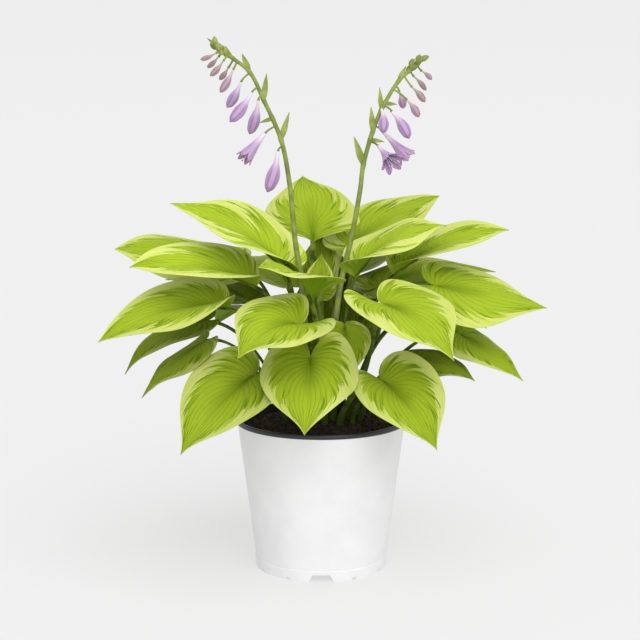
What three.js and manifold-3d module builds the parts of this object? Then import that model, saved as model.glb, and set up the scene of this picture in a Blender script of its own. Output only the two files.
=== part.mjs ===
// A potted hosta: variegated leaves on channelled stalks, two flower scapes, potting soil and a nursery pot.
// Lengths are millimetres and angles are degrees. +Z is up, and the origin is where the pot's axis meets
// the surface that the pot stands on. The front of the plant looks along -Y.
import * as THREE from 'three';
import { mergeVertices } from 'three/addons/utils/BufferGeometryUtils.js';
import Module from 'manifold-3d';

const wasm = await Module();
wasm.setup();

// Driving dimensions of the pot
const POT_HEIGHT = 147;
const RIM_RADIUS = 83;
const BASE_RADIUS = 64.5;
const LIP_HEIGHT = 4.4;
const LIP_WIDTH = 2.8;
const WALL = 1.6;
const BAND_HEIGHT = 10.3;
const BAND_STEP = 0.7;
const FOOT_HEIGHT = 6.5;
const FOOT_WIDTH = 2.4;
const PAD_RADIUS = 40;
const FLOOR_THICKNESS = 2;
const NOTCH_WIDTH_LOW = 23.6;
const NOTCH_WIDTH_HIGH = 17;
const NOTCH_COUNT = 4;
const LIP_STEP = 1.2;
const EDGE_BEVEL = 0.8;
const POT_SIDES = 36;
const DRAIN_SLOT = { width: 12, length: 6, radius: 55 };
const SIDE_SLOT = { width: 4, height: 2, angle: 29 };

// Driving dimensions of the soil and of how things stand in it
const SOIL_EDGE_HEIGHT = 138;
const SOIL_MOUND = 16;
const SOIL_SIDES = 24;
const HOLE_SIDES = 6;
const FIT_GAP = 0.3;
const ROOT_DEPTH = 10;

// Driving dimensions of the leaves
const BLADE_THICKNESS = 0.8;
const BLADE_ROWS = 7;
const BLADE_LANES = 2;
const LOBE_SHARE = 0.42;
const WIDEST = 0.24;
const EAR_START = 0.15;
const STALK_FOOT = { halfWidth: 3.8, depth: 2.8 };
const STALK_NECK = { halfWidth: 2.9, depth: 2.0 };
const STALK_STEPS = 5;
const STALK_RUN_ON = [[1, 0.75], [2, 0.45]];
const STALK_SINK = 0.25;
const STALK_LEAN = new THREE.Vector3(0.1, 0.1, 0.5);

// What a leaf has where its own line below doesn't say otherwise. rise bows its midrib up; roll and twist
// turn it about the midrib; fold is the valley at the midrib, from the base to the tip (tipFold); open is
// how soon it opens; arch curls each half down and ear lifts the lobes behind the neck; lobe, full and point
// shape its outline, skew shifts its halves along each other, and wave, waves and phase ripple its margin.
// bend is how far back from the neck its stalk still follows the midrib, as a share of the stalk's span, and
// knee is the point that a stalk is drawn towards as it leaves the soil, where it has to pass round another
// leaf.
const LEAF = {
  rise: 6, roll: 0, twist: 0, fold: 12, tipFold: 4, arch: 25, ear: 0.7, open: 1,
  lobe: 0.16, skew: 0, full: 0.32, point: 0.25, wave: 0.05, waves: 2, phase: 0,
  bend: 0.3,
};

// The leaves: where each stalk stands in the soil, where its blade starts and where it ends
const LEAVES = [
  { name: 'leaf_front_1', foot: [3, -40], neck: [-10, -65, 218], tip: [-15, -135, 159], width: 92,
    rise: 4, fold: 8, lobe: 0.25, full: 0.36, point: 0.22, phase: 0.1 },
  { name: 'leaf_front_2', foot: [-17, -31], neck: [-21, -80, 251], tip: [-74, -135, 228], width: 88,
    rise: 11, roll: 20, fold: 24, arch: 25, lobe: 0.22, full: 0.36, phase: 0.6, ear: 1.3 },
  { name: 'leaf_front_3', foot: [-25, -28], neck: [-62, -54, 199], tip: [-127, -122, 138], width: 88,
    rise: 8, roll: 20, fold: 24, arch: 20, full: 0.4, phase: 0.3, twist: 2, lobe: 0.14 },
  { name: 'leaf_front_4', foot: [18, -38], neck: [56, -60, 195], tip: [104, -125, 143], width: 84,
    rise: 8, roll: -18, fold: 32, arch: 20, lobe: 0.13, full: 0.4, phase: 0.8, twist: -2 },
  { name: 'leaf_front_5', foot: [26, -18], neck: [56, -70, 268], tip: [118, -130, 225], width: 90,
    knee: [60, -12, 230], bend: 0.12, rise: 10, roll: -15, fold: 28, arch: 30, skew: -0.1, full: 0.36,
    phase: 0.2, ear: 1.2 },
  { name: 'leaf_front_6', foot: [11, -30], neck: [22, -31, 243], tip: [24, -70, 192], width: 50, rise: 5,
    fold: 10, arch: 30, phase: 0.5, lobe: 0.08, ear: 0 },
  { name: 'leaf_right_1', foot: [34, -6], neck: [108, -20, 279], tip: [210, -60, 263], width: 88, rise: 1,
    roll: -28, fold: 12, tipFold: -18, full: 0.4, point: 0.18, phase: 0.4, twist: 0 },
  { name: 'leaf_right_2', foot: [38, -16], neck: [132, -15, 232], tip: [190, -55, 193], width: 56,
    rise: 3, roll: -14, fold: 2, tipFold: 0, full: 0.24, phase: 0.9 },
  { name: 'leaf_right_3', foot: [30, -28], neck: [87, -30, 209], tip: [145, -50, 192], width: 62, rise: 7,
    roll: -16, fold: 4, tipFold: 0, phase: 0.7 },
  { name: 'leaf_right_4', foot: [17, 0], neck: [32, -15, 286], tip: [119, -25, 337], width: 92, rise: 14,
    roll: -11, twist: -10, fold: 60, tipFold: 0, arch: 14, lobe: -0.02, skew: -0.05, wave: 0.06,
    phase: 0.15, bend: 0.12, full: 0.5, point: 0.14, waves: 2, open: 3.5, ear: 0.5 },
  { name: 'leaf_right_5', foot: [14, 12], neck: [29, 50, 310], tip: [122, 100, 357], width: 74, rise: 6,
    roll: -22, fold: 17, arch: 20, phase: 0.55, bend: 0.12, full: 0.46, point: 0.12 },
  { name: 'leaf_right_6', foot: [28, 8], neck: [56, 36, 270], tip: [176, 60, 283], width: 76,
    rise: 9, roll: -20, phase: 0.35 },
  { name: 'leaf_right_7', foot: [25, -3], neck: [70, 2, 287], tip: [180, -5, 331], width: 71, rise: 10,
    roll: -12, fold: 50, tipFold: 12, open: 4, arch: 16, lobe: 0.0, phase: 0.15, bend: 0.12, twist: -12,
    full: 0.5, point: 0.07 },
  { name: 'leaf_left_1', foot: [-28, 14], neck: [-89, 40, 295], tip: [-202, 20, 310], width: 94, rise: 5,
    roll: 24, fold: 4, tipFold: 0, phase: 0.75, full: 0.54, point: 0.06 },
  { name: 'leaf_left_2', foot: [-28, 0], neck: [-62, -20, 278], tip: [-179, -50, 300], width: 80,
    rise: 10, roll: 11, fold: 50, tipFold: 20, phase: 0.25, twist: 24, open: 3, lobe: 0.0, full: 0.52,
    point: 0.12 },
  { name: 'leaf_left_3', foot: [-35, -8], neck: [-90, -30, 259], tip: [-207, -70, 232], width: 84,
    rise: 13, roll: 12, fold: 50, full: 0.42, point: 0.18, phase: 0.05, twist: 22, tipFold: 8, open: 3,
    lobe: 0.03 },
  { name: 'leaf_left_4', foot: [-37, 6], neck: [-116, 17, 239], tip: [-192, 0, 189], width: 56, rise: 12,
    roll: 14, fold: 6, phase: 0.45 },
  { name: 'leaf_left_5', foot: [-35, -18], neck: [-113, -30, 226], tip: [-169, -56, 177], width: 56,
    rise: 5, roll: 6, fold: 0, tipFold: 0, phase: 0.85 },
  { name: 'leaf_top_1', foot: [-2, 14], neck: [-8, 36, 314], tip: [-19, 90, 378], width: 97, rise: 12,
    fold: 20, arch: 20, lobe: -0.06, phase: 0.65 },
  { name: 'leaf_top_2', foot: [-17, 10], neck: [-37, -9, 296], tip: [-144, -10, 357], width: 82, rise: 9,
    roll: 18, twist: 14, fold: 36, tipFold: 0, arch: 12, lobe: 0.11, wave: 0.07, phase: 0.9, bend: 0.12,
    full: 0.42, point: 0.18 },
  { name: 'leaf_crown_1', foot: [-7, -14], neck: [-8, -52, 264], tip: [-58, -88, 304], width: 94,
    rise: 15, roll: -12, fold: 58, arch: 25, lobe: -0.12, phase: 0.3, twist: 40, tipFold: 0, open: 2,
    ear: 0 },
  { name: 'leaf_crown_2', foot: [1, -13], neck: [-1, -20, 275], tip: [0, -13, 309], width: 30, rise: 2,
    fold: 32, tipFold: 20, arch: 10, lobe: -0.04, wave: 0, bend: 0.2 },
  { name: 'leaf_crown_3', foot: [0, 25], neck: [-2, 47, 266], tip: [2, 80, 328], width: 42,
    rise: 4, fold: 20, arch: 20, phase: 0.1 },
  { name: 'leaf_back_1', foot: [-30, 25], neck: [-75, 45, 257], tip: [-160, 85, 272], width: 76,
    rise: 8, roll: 5, fold: 15, phase: 0.2 },
  { name: 'leaf_back_2', foot: [-20, 34], neck: [-55, 70, 242], tip: [-115, 165, 212], width: 84,
    rise: 12, fold: 15, phase: 0.5 },
  { name: 'leaf_back_3', foot: [-7, 40], neck: [-8, 75, 214], tip: [-10, 150, 270], width: 46, rise: 12,
    fold: 15, phase: 0.9 },
  { name: 'leaf_back_4', foot: [8, 40], neck: [27, 75, 205], tip: [32, 165, 272], width: 70, rise: 12,
    fold: 15, phase: 0.4 },
  { name: 'leaf_back_5', foot: [21, 35], neck: [60, 75, 258], tip: [120, 160, 232], width: 84,
    rise: 12, fold: 15, phase: 0.7 },
  { name: 'leaf_back_6', foot: [32, 22], neck: [85, 45, 239], tip: [172, 95, 220], width: 76,
    rise: 11, fold: 15, phase: 0.1 },
  { name: 'leaf_back_7', foot: [-12, 24], neck: [-35, 62, 272], tip: [-75, 150, 286], width: 80,
    rise: 12, fold: 20, arch: 20, phase: 0.6 },
  { name: 'leaf_back_8', foot: [10, 30], neck: [28, 75, 282], tip: [55, 165, 285], width: 80,
    rise: 12, fold: 20, arch: 20, phase: 0.3 },
];

// How fine a face may be
const SHORTEST_EDGE = 0.03;
const THINNEST_FACE = 0.004;
const CLEANING_PASSES = 4;

// Driving dimensions of the flower scapes
const SCAPE_RADIUS = { foot: 3.3, tip: 1.7 };
const PEDICEL_RADIUS = 0.9;
const PEDICEL_DROP = 5;
const SCAPE_TUBE = { segments: 16, sides: 6 };
const PEDICEL_TUBE = { segments: 3, sides: 4 };
const BUD_SIDES = 6;
const TOP_BUD_SIDES = 4;

// The two scapes: the stalk's route, its bracts from axil to tip, its buds and flowers from base to tip,
// and the green buds that crowd its top
const SCAPES = [
  { name: 'scape_left',
    route: [[-9, -3], [-15, -5, 230], [-20, -6, 287], [-25, -8, 321], [-30, -10, 374], [-38, -14, 417],
      [-54, -18, 454], [-67, -20, 480], [-83, -22, 493], [-97, -24, 503]],
    bracts: [
      { from: [-38, -14, 417], to: [-30, -16, 443], width: 6 },
      { from: [-46, -16, 437], to: [-58, -26, 433], width: 4 },
      { from: [-54, -18, 454], to: [-51, -20, 479], width: 6 },
      { from: [-67, -20, 480], to: [-74, -20, 497], width: 6 },
      { from: [-83, -22, 493], to: [-96, -20, 507], width: 5 },
      { from: [-94, -24, 501], to: [-106, -28, 511], width: 4 },
    ],
    blooms: [
      { base: [-41, -16, 406], tip: [-51, -22, 368], radius: 6.5, kind: 'bud' },
      { base: [-53, -20, 423], tip: [-73, -34, 399], radius: 8.5, kind: 'bell' },
      { base: [-59, -20, 454], tip: [-68, -8, 422], radius: 5.5, kind: 'bud' },
      { base: [-65, -24, 461], tip: [-85, -34, 434], radius: 5.5, kind: 'bud' },
      { base: [-75, -20, 471], tip: [-89, -12, 447], radius: 4.8, kind: 'bud' },
      { base: [-82, -26, 482], tip: [-94, -32, 461], radius: 3.8, kind: 'bud' },
      { base: [-87, -18, 484], tip: [-96, -11, 473], radius: 2.8, kind: 'bud' },
      { base: [-91, -27, 490], tip: [-103, -32, 476], radius: 3.0, kind: 'bud' },
      { base: [-96, -20, 494], tip: [-107, -15, 484], radius: 2.5, kind: 'bud' },
      { base: [-98, -27, 497], tip: [-112, -31, 491], radius: 2.4, kind: 'bud' },
    ] },
  { name: 'scape_right',
    route: [[9, -4], [12, -9, 220], [16, -13, 262], [22, -14, 296], [28, -11, 320], [37, -8, 369],
      [40, -8, 393], [51, -6, 431], [59, -4, 449], [74, -4, 473], [84, -4, 482], [93, -4, 490]],
    bracts: [
      { from: [40, -8, 393], to: [31, -11, 420], width: 7 },
      { from: [47, -7, 417], to: [60, -14, 415], width: 4 },
      { from: [49, -6, 424], to: [47, -9, 448], width: 6 },
      { from: [57, -4, 445], to: [55, -8, 466], width: 5 },
      { from: [60, -4, 451], to: [72, -10, 450], width: 4 },
      { from: [73, -4, 472], to: [80, -6, 486], width: 5 },
      { from: [84, -4, 482], to: [88, -8, 493], width: 4 },
    ],
    blooms: [
      { base: [54, -11, 411], tip: [67, -34, 395], radius: 12.5, kind: 'flower' },
      { base: [58, -2, 425], tip: [83, 3, 399], radius: 10.5, kind: 'flower' },
      { base: [57, -9, 446], tip: [58, -17, 423], radius: 5.0, kind: 'bud' },
      { base: [67, -7, 443], tip: [83, -14, 418], radius: 5.5, kind: 'bud' },
      { base: [74, 0, 462], tip: [78, 7, 446], radius: 4.0, kind: 'bud' },
      { base: [81, -9, 454], tip: [92, -15, 438], radius: 3.8, kind: 'bud' },
      { base: [86, -5, 466], tip: [98, -8, 452], radius: 3.4, kind: 'bud' },
      { base: [88, 0, 476], tip: [100, 5, 463], radius: 2.6, kind: 'bud' },
      { base: [95, -6, 481], tip: [104, -10, 473], radius: 2.5, kind: 'bud' },
    ] },
];
const TOP_BUDS = { count: 7, length: 10, radius: 2.8, climb: 2.6, turn: 2.4 };

// Materials
function material(color, roughness) {
  return new THREE.MeshStandardMaterial({ color, roughness, metalness: 0 });
}
const POT_MATERIAL = material(0xe9e9e6, 0.35);
const SOIL_MATERIAL = material(0x1c1411, 0.95);
const LEAF_MATERIAL = material(0x8cb32a, 0.5);
const SCAPE_MATERIAL = material(0x7d8f3c, 0.5);
const BLOOM_MATERIAL = material(0xb79ad6, 0.55);

// Turn any closed three.js geometry into a solid, whichever way round its faces were made
function solidOf(geometry) {
  const bare = geometry.clone();
  bare.deleteAttribute('normal');
  bare.deleteAttribute('uv');
  const merged = mergeVertices(bare, 1e-4);
  const position = merged.attributes.position;
  const corners = [];
  for (let i = 0; i < merged.index.count; i += 3) {
    const [a, b, c] = [0, 1, 2].map((k) => merged.index.getX(i + k));
    if (a !== b && b !== c && c !== a) {
      corners.push(a, b, c);
    }
  }
  const at = (i) => new THREE.Vector3().fromBufferAttribute(position, i);
  let sixVolumes = 0;
  for (let i = 0; i < corners.length; i += 3) {
    sixVolumes += at(corners[i]).dot(at(corners[i + 1]).cross(at(corners[i + 2])));
  }
  if (sixVolumes < 0) {
    corners.reverse();
  }
  return new wasm.Manifold(new wasm.Mesh({
    numProp: 3,
    vertProperties: new Float32Array(position.array),
    triVerts: new Uint32Array(corners),
  }));
}

// Joining solids leaves needle-thin faces. Close up the shortest edges, then turn the long edge of each face
// that is still nearly flat, so that the two faces beside it share their other diagonal.
function cleanFaces(points, corners) {
  const joined = points.map((_, i) => i);
  const kept = (i) => (joined[i] === i ? i : kept(joined[i]));
  const distance = (i, j) => points[i].distanceTo(points[j]);
  corners.forEach((a, k) => {
    const b = corners[k % 3 === 2 ? k - 2 : k + 1];
    if (kept(a) !== kept(b) && distance(kept(a), kept(b)) < SHORTEST_EDGE) {
      joined[kept(b)] = kept(a);
    }
  });
  const faces = [];
  for (let k = 0; k < corners.length; k += 3) {
    const [a, b, c] = [kept(corners[k]), kept(corners[k + 1]), kept(corners[k + 2])];
    if (a !== b && b !== c && c !== a) {
      faces.push([a, b, c]);
    }
  }
  for (let pass = 0; pass < CLEANING_PASSES; pass += 1) {
    const owner = new Map(faces.flatMap((face, i) => face.map((a, k) => [`${a} ${face[(k + 1) % 3]}`, i])));
    const turned = new Set();
    faces.forEach((face, i) => {
      const lengths = face.map((a, k) => distance(a, face[(k + 1) % 3]));
      const k = lengths.indexOf(Math.max(...lengths));
      const [a, b, c] = [face[k], face[(k + 1) % 3], face[(k + 2) % 3]];
      const arm = points[b].clone().sub(points[a]);
      const height = arm.clone().cross(points[c].clone().sub(points[a])).length() / lengths[k];
      const other = owner.get(`${b} ${a}`);
      if (height > THINNEST_FACE || turned.has(i) || turned.has(other)) {
        return;
      }
      const d = faces[other].find((corner) => corner !== a && corner !== b);
      if (!owner.has(`${c} ${d}`) && !owner.has(`${d} ${c}`)) {
        faces[i] = [c, a, d];
        faces[other] = [c, d, b];
        turned.add(i).add(other);
      }
    });
  }
  return faces.flat();
}

function meshOf(name, solid, look) {
  const { vertProperties, triVerts } = solid.getMesh();
  const points = [];
  for (let i = 0; i < vertProperties.length; i += 3) {
    points.push(new THREE.Vector3().fromArray(vertProperties, i));
  }
  const bare = new THREE.BufferGeometry().setFromPoints(points);
  bare.setIndex(cleanFaces(points, Array.from(triVerts)));
  const geometry = mergeVertices(bare);
  geometry.computeVertexNormals();
  const mesh = new THREE.Mesh(geometry, look);
  mesh.name = name;
  return mesh;
}

// A closed skin through rings of points, with a fan of faces over each end
function loft(rings) {
  const points = rings.flat();
  const sides = rings[0].length;
  const corners = [];
  for (let i = 0; i + 1 < rings.length; i += 1) {
    for (let j = 0; j < sides; j += 1) {
      const a = i * sides + j;
      const b = i * sides + (j + 1) % sides;
      corners.push(a, b, b + sides, a, b + sides, a + sides);
    }
  }
  for (const end of [0, rings.length - 1]) {
    const middle = rings[end].reduce((sum, p) => sum.add(p), new THREE.Vector3()).divideScalar(sides);
    points.push(middle);
    for (let j = 0; j < sides; j += 1) {
      const a = end * sides + j;
      const b = end * sides + (j + 1) % sides;
      corners.push(...(end === 0 ? [b, a, points.length - 1] : [a, b, points.length - 1]));
    }
  }
  return new THREE.BufferGeometry().setFromPoints(points).setIndex(corners);
}

// A closed skin around a sheet: the sheet, its copy pushed back by the thickness, and a rim between them
function thicken(points, corners, edge, thickness) {
  const sheet = new THREE.BufferGeometry().setFromPoints(points).setIndex(corners);
  sheet.computeVertexNormals();
  const normal = sheet.attributes.normal;
  const back = points.map((p, i) => (
    p.clone().addScaledVector(new THREE.Vector3().fromBufferAttribute(normal, i), -thickness)
  ));
  const count = points.length;
  const all = [...corners];
  for (let i = 0; i < corners.length; i += 3) {
    all.push(corners[i] + count, corners[i + 2] + count, corners[i + 1] + count);
  }
  edge.forEach((a, i) => {
    const b = edge[(i + 1) % edge.length];
    all.push(a, a + count, b + count, a, b + count, b);
  });
  return new THREE.BufferGeometry().setFromPoints([...points, ...back]).setIndex(all);
}

function mix(a, b, share) {
  return a + (b - a) * share;
}

// A round tube of changing radius along a curve
function tube(curve, radiusAt, { segments, sides }) {
  const frames = curve.computeFrenetFrames(segments);
  const rings = [];
  for (let i = 0; i <= segments; i += 1) {
    const centre = curve.getPointAt(i / segments);
    const radius = radiusAt(i / segments);
    const ring = [];
    for (let j = 0; j < sides; j += 1) {
      const angle = 2 * Math.PI * j / sides;
      ring.push(centre.clone()
        .addScaledVector(frames.normals[i], radius * Math.cos(angle))
        .addScaledVector(frames.binormals[i], radius * Math.sin(angle)));
    }
    rings.push(ring);
  }
  return loft(rings);
}

// The pot: a turned shell with a rolled lip, and a foot ring around a flat pad on its underside
function outerRadius(height) {
  const share = (height - BAND_HEIGHT) / (POT_HEIGHT - LIP_HEIGHT - BAND_HEIGHT);
  return mix(BASE_RADIUS, RIM_RADIUS - LIP_STEP, share);
}

function potSolid() {
  const lipBottom = POT_HEIGHT - LIP_HEIGHT;
  const lipInner = RIM_RADIUS - LIP_WIDTH;
  const floorHigh = FOOT_HEIGHT + FLOOR_THICKNESS;
  const profile = [
    [0, 0], [PAD_RADIUS, 0], [PAD_RADIUS + 1, FOOT_HEIGHT],
    [BASE_RADIUS - FOOT_WIDTH, FOOT_HEIGHT], [BASE_RADIUS - FOOT_WIDTH, 0],
    [BASE_RADIUS, 0], [BASE_RADIUS + BAND_STEP, BAND_HEIGHT - BAND_STEP], [BASE_RADIUS, BAND_HEIGHT],
    [outerRadius(lipBottom), lipBottom], [RIM_RADIUS, lipBottom],
    [RIM_RADIUS, POT_HEIGHT - EDGE_BEVEL], [RIM_RADIUS - EDGE_BEVEL, POT_HEIGHT],
    [lipInner, POT_HEIGHT], [outerRadius(lipBottom) - WALL, lipBottom],
    [BASE_RADIUS - WALL, BAND_HEIGHT], [BASE_RADIUS - WALL, floorHigh],
    [PAD_RADIUS - 1, floorHigh], [PAD_RADIUS - 2, FLOOR_THICKNESS], [0, FLOOR_THICKNESS],
  ].map(([r, z]) => new THREE.Vector2(r, z));
  let pot = solidOf(new THREE.LatheGeometry(profile, POT_SIDES).rotateX(Math.PI / 2));
  for (let i = 0; i < NOTCH_COUNT; i += 1) {
    const turn = i * 2 * Math.PI / NOTCH_COUNT;
    pot = pot.subtract(notchSolid(turn)).subtract(drainSolid(turn));
    for (const side of [-1, 1]) {
      pot = pot.subtract(sideSlotSolid(turn + side * THREE.MathUtils.degToRad(SIDE_SLOT.angle)));
    }
  }
  return pot;
}

// A wedge-sided gap in the foot ring
function notchSolid(turn) {
  const low = NOTCH_WIDTH_LOW / 2;
  const high = NOTCH_WIDTH_HIGH / 2;
  const slope = (low - high) / FOOT_HEIGHT;
  const outline = new THREE.Shape([
    new THREE.Vector2(-low - slope, -1), new THREE.Vector2(low + slope, -1),
    new THREE.Vector2(high, FOOT_HEIGHT), new THREE.Vector2(-high, FOOT_HEIGHT),
  ]);
  const depth = 5 * FOOT_WIDTH;
  const cutter = new THREE.ExtrudeGeometry(outline, { depth, bevelEnabled: false });
  cutter.rotateX(Math.PI / 2).translate(0, depth - BASE_RADIUS - 2, 0).rotateZ(turn);
  return solidOf(cutter);
}

// A drain slot through the raised ring of the floor, above the notch
function drainSolid(turn) {
  const cutter = new THREE.BoxGeometry(DRAIN_SLOT.width, DRAIN_SLOT.length, FLOOR_THICKNESS + 2);
  cutter.translate(0, -DRAIN_SLOT.radius, FOOT_HEIGHT + FLOOR_THICKNESS / 2).rotateZ(turn);
  return solidOf(cutter);
}

function sideSlotSolid(turn) {
  const cutter = new THREE.BoxGeometry(SIDE_SLOT.width, 3 * FOOT_WIDTH, SIDE_SLOT.height * 2);
  cutter.translate(0, -BASE_RADIUS, 0).rotateZ(turn);
  return solidOf(cutter);
}

// The soil: it fills the pot with a hair of clearance and is heaped up in the middle
function soilHeight(x, y) {
  const share = Math.min(Math.hypot(x, y) / innerSoilRadius(), 1);
  return SOIL_EDGE_HEIGHT + SOIL_MOUND * Math.cos(share * Math.PI / 2) ** 1.3;
}

function innerSoilRadius() {
  return outerRadius(SOIL_EDGE_HEIGHT) - WALL - FIT_GAP;
}

function soilSolid() {
  const floorHigh = FOOT_HEIGHT + FLOOR_THICKNESS + FIT_GAP;
  const bottomRadius = BASE_RADIUS - WALL - FIT_GAP;
  const profile = [
    [0, FLOOR_THICKNESS + FIT_GAP], [PAD_RADIUS - 2.4, FLOOR_THICKNESS + FIT_GAP],
    [PAD_RADIUS - 1.4, floorHigh], [bottomRadius, floorHigh], [bottomRadius, BAND_HEIGHT],
    [innerSoilRadius(), SOIL_EDGE_HEIGHT],
  ];
  for (const share of [0.8, 0.6, 0.35, 0]) {
    const radius = share * innerSoilRadius();
    profile.push([radius, soilHeight(radius, 0)]);
  }
  const points = profile.map(([r, z]) => new THREE.Vector2(r, z));
  let soil = solidOf(new THREE.LatheGeometry(points, SOIL_SIDES).rotateX(Math.PI / 2));
  for (const leaf of LEAVES) {
    soil = soil.subtract(holeSolid(leaf.foot, STALK_FOOT.halfWidth + FIT_GAP));
  }
  for (const scape of SCAPES) {
    soil = soil.subtract(holeSolid(scape.route[0], SCAPE_RADIUS.foot + FIT_GAP));
  }
  return soil;
}

// The plain hole that a stalk stands in, a hair deeper than the stalk. It has flat sides, and a circle of
// the given radius fits between them.
function holeSolid([x, y], radius) {
  const depth = ROOT_DEPTH + FIT_GAP;
  const reach = 12;
  const corner = radius / Math.cos(Math.PI / HOLE_SIDES);
  const cutter = new THREE.CylinderGeometry(corner, corner, depth + reach, HOLE_SIDES);
  cutter.rotateX(Math.PI / 2).translate(x, y, soilHeight(x, y) + (reach - depth) / 2);
  return solidOf(cutter);
}

// A leaf's midrib: the straight line from neck to tip, bowed up
function midribOf(leaf) {
  const neck = new THREE.Vector3(...leaf.neck);
  const chord = new THREE.Vector3(...leaf.tip).sub(neck);
  const side = new THREE.Vector3(chord.y, -chord.x, 0).normalize();
  const up = side.clone().cross(chord).normalize();
  const bow = up.clone().multiplyScalar(4 * leaf.rise);
  return {
    length: chord.length(),
    point: (s) => neck.clone().addScaledVector(chord, s).addScaledVector(bow, s * (1 - s)),
    frame: (s) => {
      const along = chord.clone().addScaledVector(bow, 1 - 2 * s).normalize();
      const right = side.clone().addScaledVector(along, -side.dot(along)).normalize();
      right.applyAxisAngle(along, -THREE.MathUtils.degToRad(leaf.roll + leaf.twist * s));
      return { along, right, up: right.clone().cross(along) };
    },
  };
}

// One half of a leaf's outline, from the neck round the lobe and the shoulder to the tip: x in midrib
// lengths along the leaf and y in half widths across it, for t from 0 to 1
function outlineOf(leaf) {
  const lobe = new THREE.CubicBezierCurve(
    new THREE.Vector2(0, 0), new THREE.Vector2(-1.75 * leaf.lobe, 0.1),
    new THREE.Vector2(-1.2 * leaf.lobe, 1), new THREE.Vector2(WIDEST, 1),
  );
  const shoulder = new THREE.CubicBezierCurve(
    new THREE.Vector2(WIDEST, 1), new THREE.Vector2(WIDEST + leaf.full, 1),
    new THREE.Vector2(1 - leaf.point, 0.2), new THREE.Vector2(1, 0),
  );
  return (t) => (t < LOBE_SHARE
    ? lobe.getPoint(t / LOBE_SHARE)
    : shoulder.getPoint((t - LOBE_SHARE) / (1 - LOBE_SHARE)));
}

// Where on the midrib the vein at share t leaves it
function veinStart(t) {
  return t ** 1.05;
}

// The blade's surface. A vein leaves the midrib at share t of its length and ends at share t of the
// outline; v runs along it, from 0 at the midrib to 1 at the right margin or -1 at the left one.
function bladePoint(leaf, midrib, outline, t, v) {
  const side = Math.sign(v);
  const out = Math.abs(v);
  const edge = outline(t);
  const across = edge.y * out;
  const straight = mix(veinStart(t), edge.x, out ** 1.4);
  const x = straight + leaf.skew * side * across * (1 - Math.max(straight, 0));
  const s = THREE.MathUtils.clamp(x, 0, 1);
  const fold = THREE.MathUtils.degToRad(mix(leaf.tipFold, leaf.fold, (1 - s) ** leaf.open));
  const arch = THREE.MathUtils.degToRad(leaf.arch);
  const reach = (Math.sin(fold) - Math.sin(fold - arch * across)) / arch;
  const lift = (Math.cos(fold - arch * across) - Math.cos(fold)) / arch;
  const ripple = leaf.wave * out ** 2 * Math.sin(Math.PI * t)
    * Math.sin(2 * Math.PI * (leaf.waves * t + leaf.phase) + 1.2 * side);
  const ear = leaf.ear * Math.max(EAR_START - x, 0) ** 2 * midrib.length * (1 - (1 - across) ** 3);
  const frame = midrib.frame(s);
  const half = leaf.width / 2;
  return midrib.point(s)
    .addScaledVector(midrib.frame(0).along, Math.min(x, 0) * midrib.length)
    .addScaledVector(frame.right, side * half * reach)
    .addScaledVector(frame.up, half * (lift + ripple) + ear);
}

function bladeSolid(leaf, midrib) {
  const outline = outlineOf(leaf);
  const lanes = 2 * BLADE_LANES + 1;
  const points = [midrib.point(0)];
  for (let i = 1; i < BLADE_ROWS; i += 1) {
    for (let j = 0; j < lanes; j += 1) {
      points.push(bladePoint(leaf, midrib, outline, i / BLADE_ROWS, j / BLADE_LANES - 1));
    }
  }
  points.push(midrib.point(1));
  const last = points.length - 1;
  const at = (i, j) => 1 + (i - 1) * lanes + j;
  const corners = [];
  for (let j = 0; j + 1 < lanes; j += 1) {
    corners.push(0, at(1, j + 1), at(1, j));
    corners.push(last, at(BLADE_ROWS - 1, j), at(BLADE_ROWS - 1, j + 1));
    for (let i = 1; i + 1 < BLADE_ROWS; i += 1) {
      const [a, b, c, d] = [at(i, j), at(i, j + 1), at(i + 1, j + 1), at(i + 1, j)];
      corners.push(...(j < BLADE_LANES ? [a, b, d, b, c, d] : [a, b, c, a, c, d]));
    }
  }
  const rows = Array.from({ length: BLADE_ROWS - 1 }, (_, k) => k + 1);
  const rightEdge = rows.map((i) => at(i, lanes - 1));
  const leftEdge = rows.map((i) => at(i, 0)).reverse();
  return solidOf(thicken(points, corners, [0, ...rightEdge, last, ...leftEdge], BLADE_THICKNESS));
}

// A leaf stalk's section: round below and channelled above
const STALK_SECTION = [[1, 0.35], [0, -0.1], [-1, 0.35], [-0.6, -0.85], [0.6, -0.85]];

function stalkRing(centre, right, up, halfWidth, depth) {
  return STALK_SECTION.map(([a, b]) => (
    centre.clone().addScaledVector(right, a * halfWidth).addScaledVector(up, b * depth)
  ));
}

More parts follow.
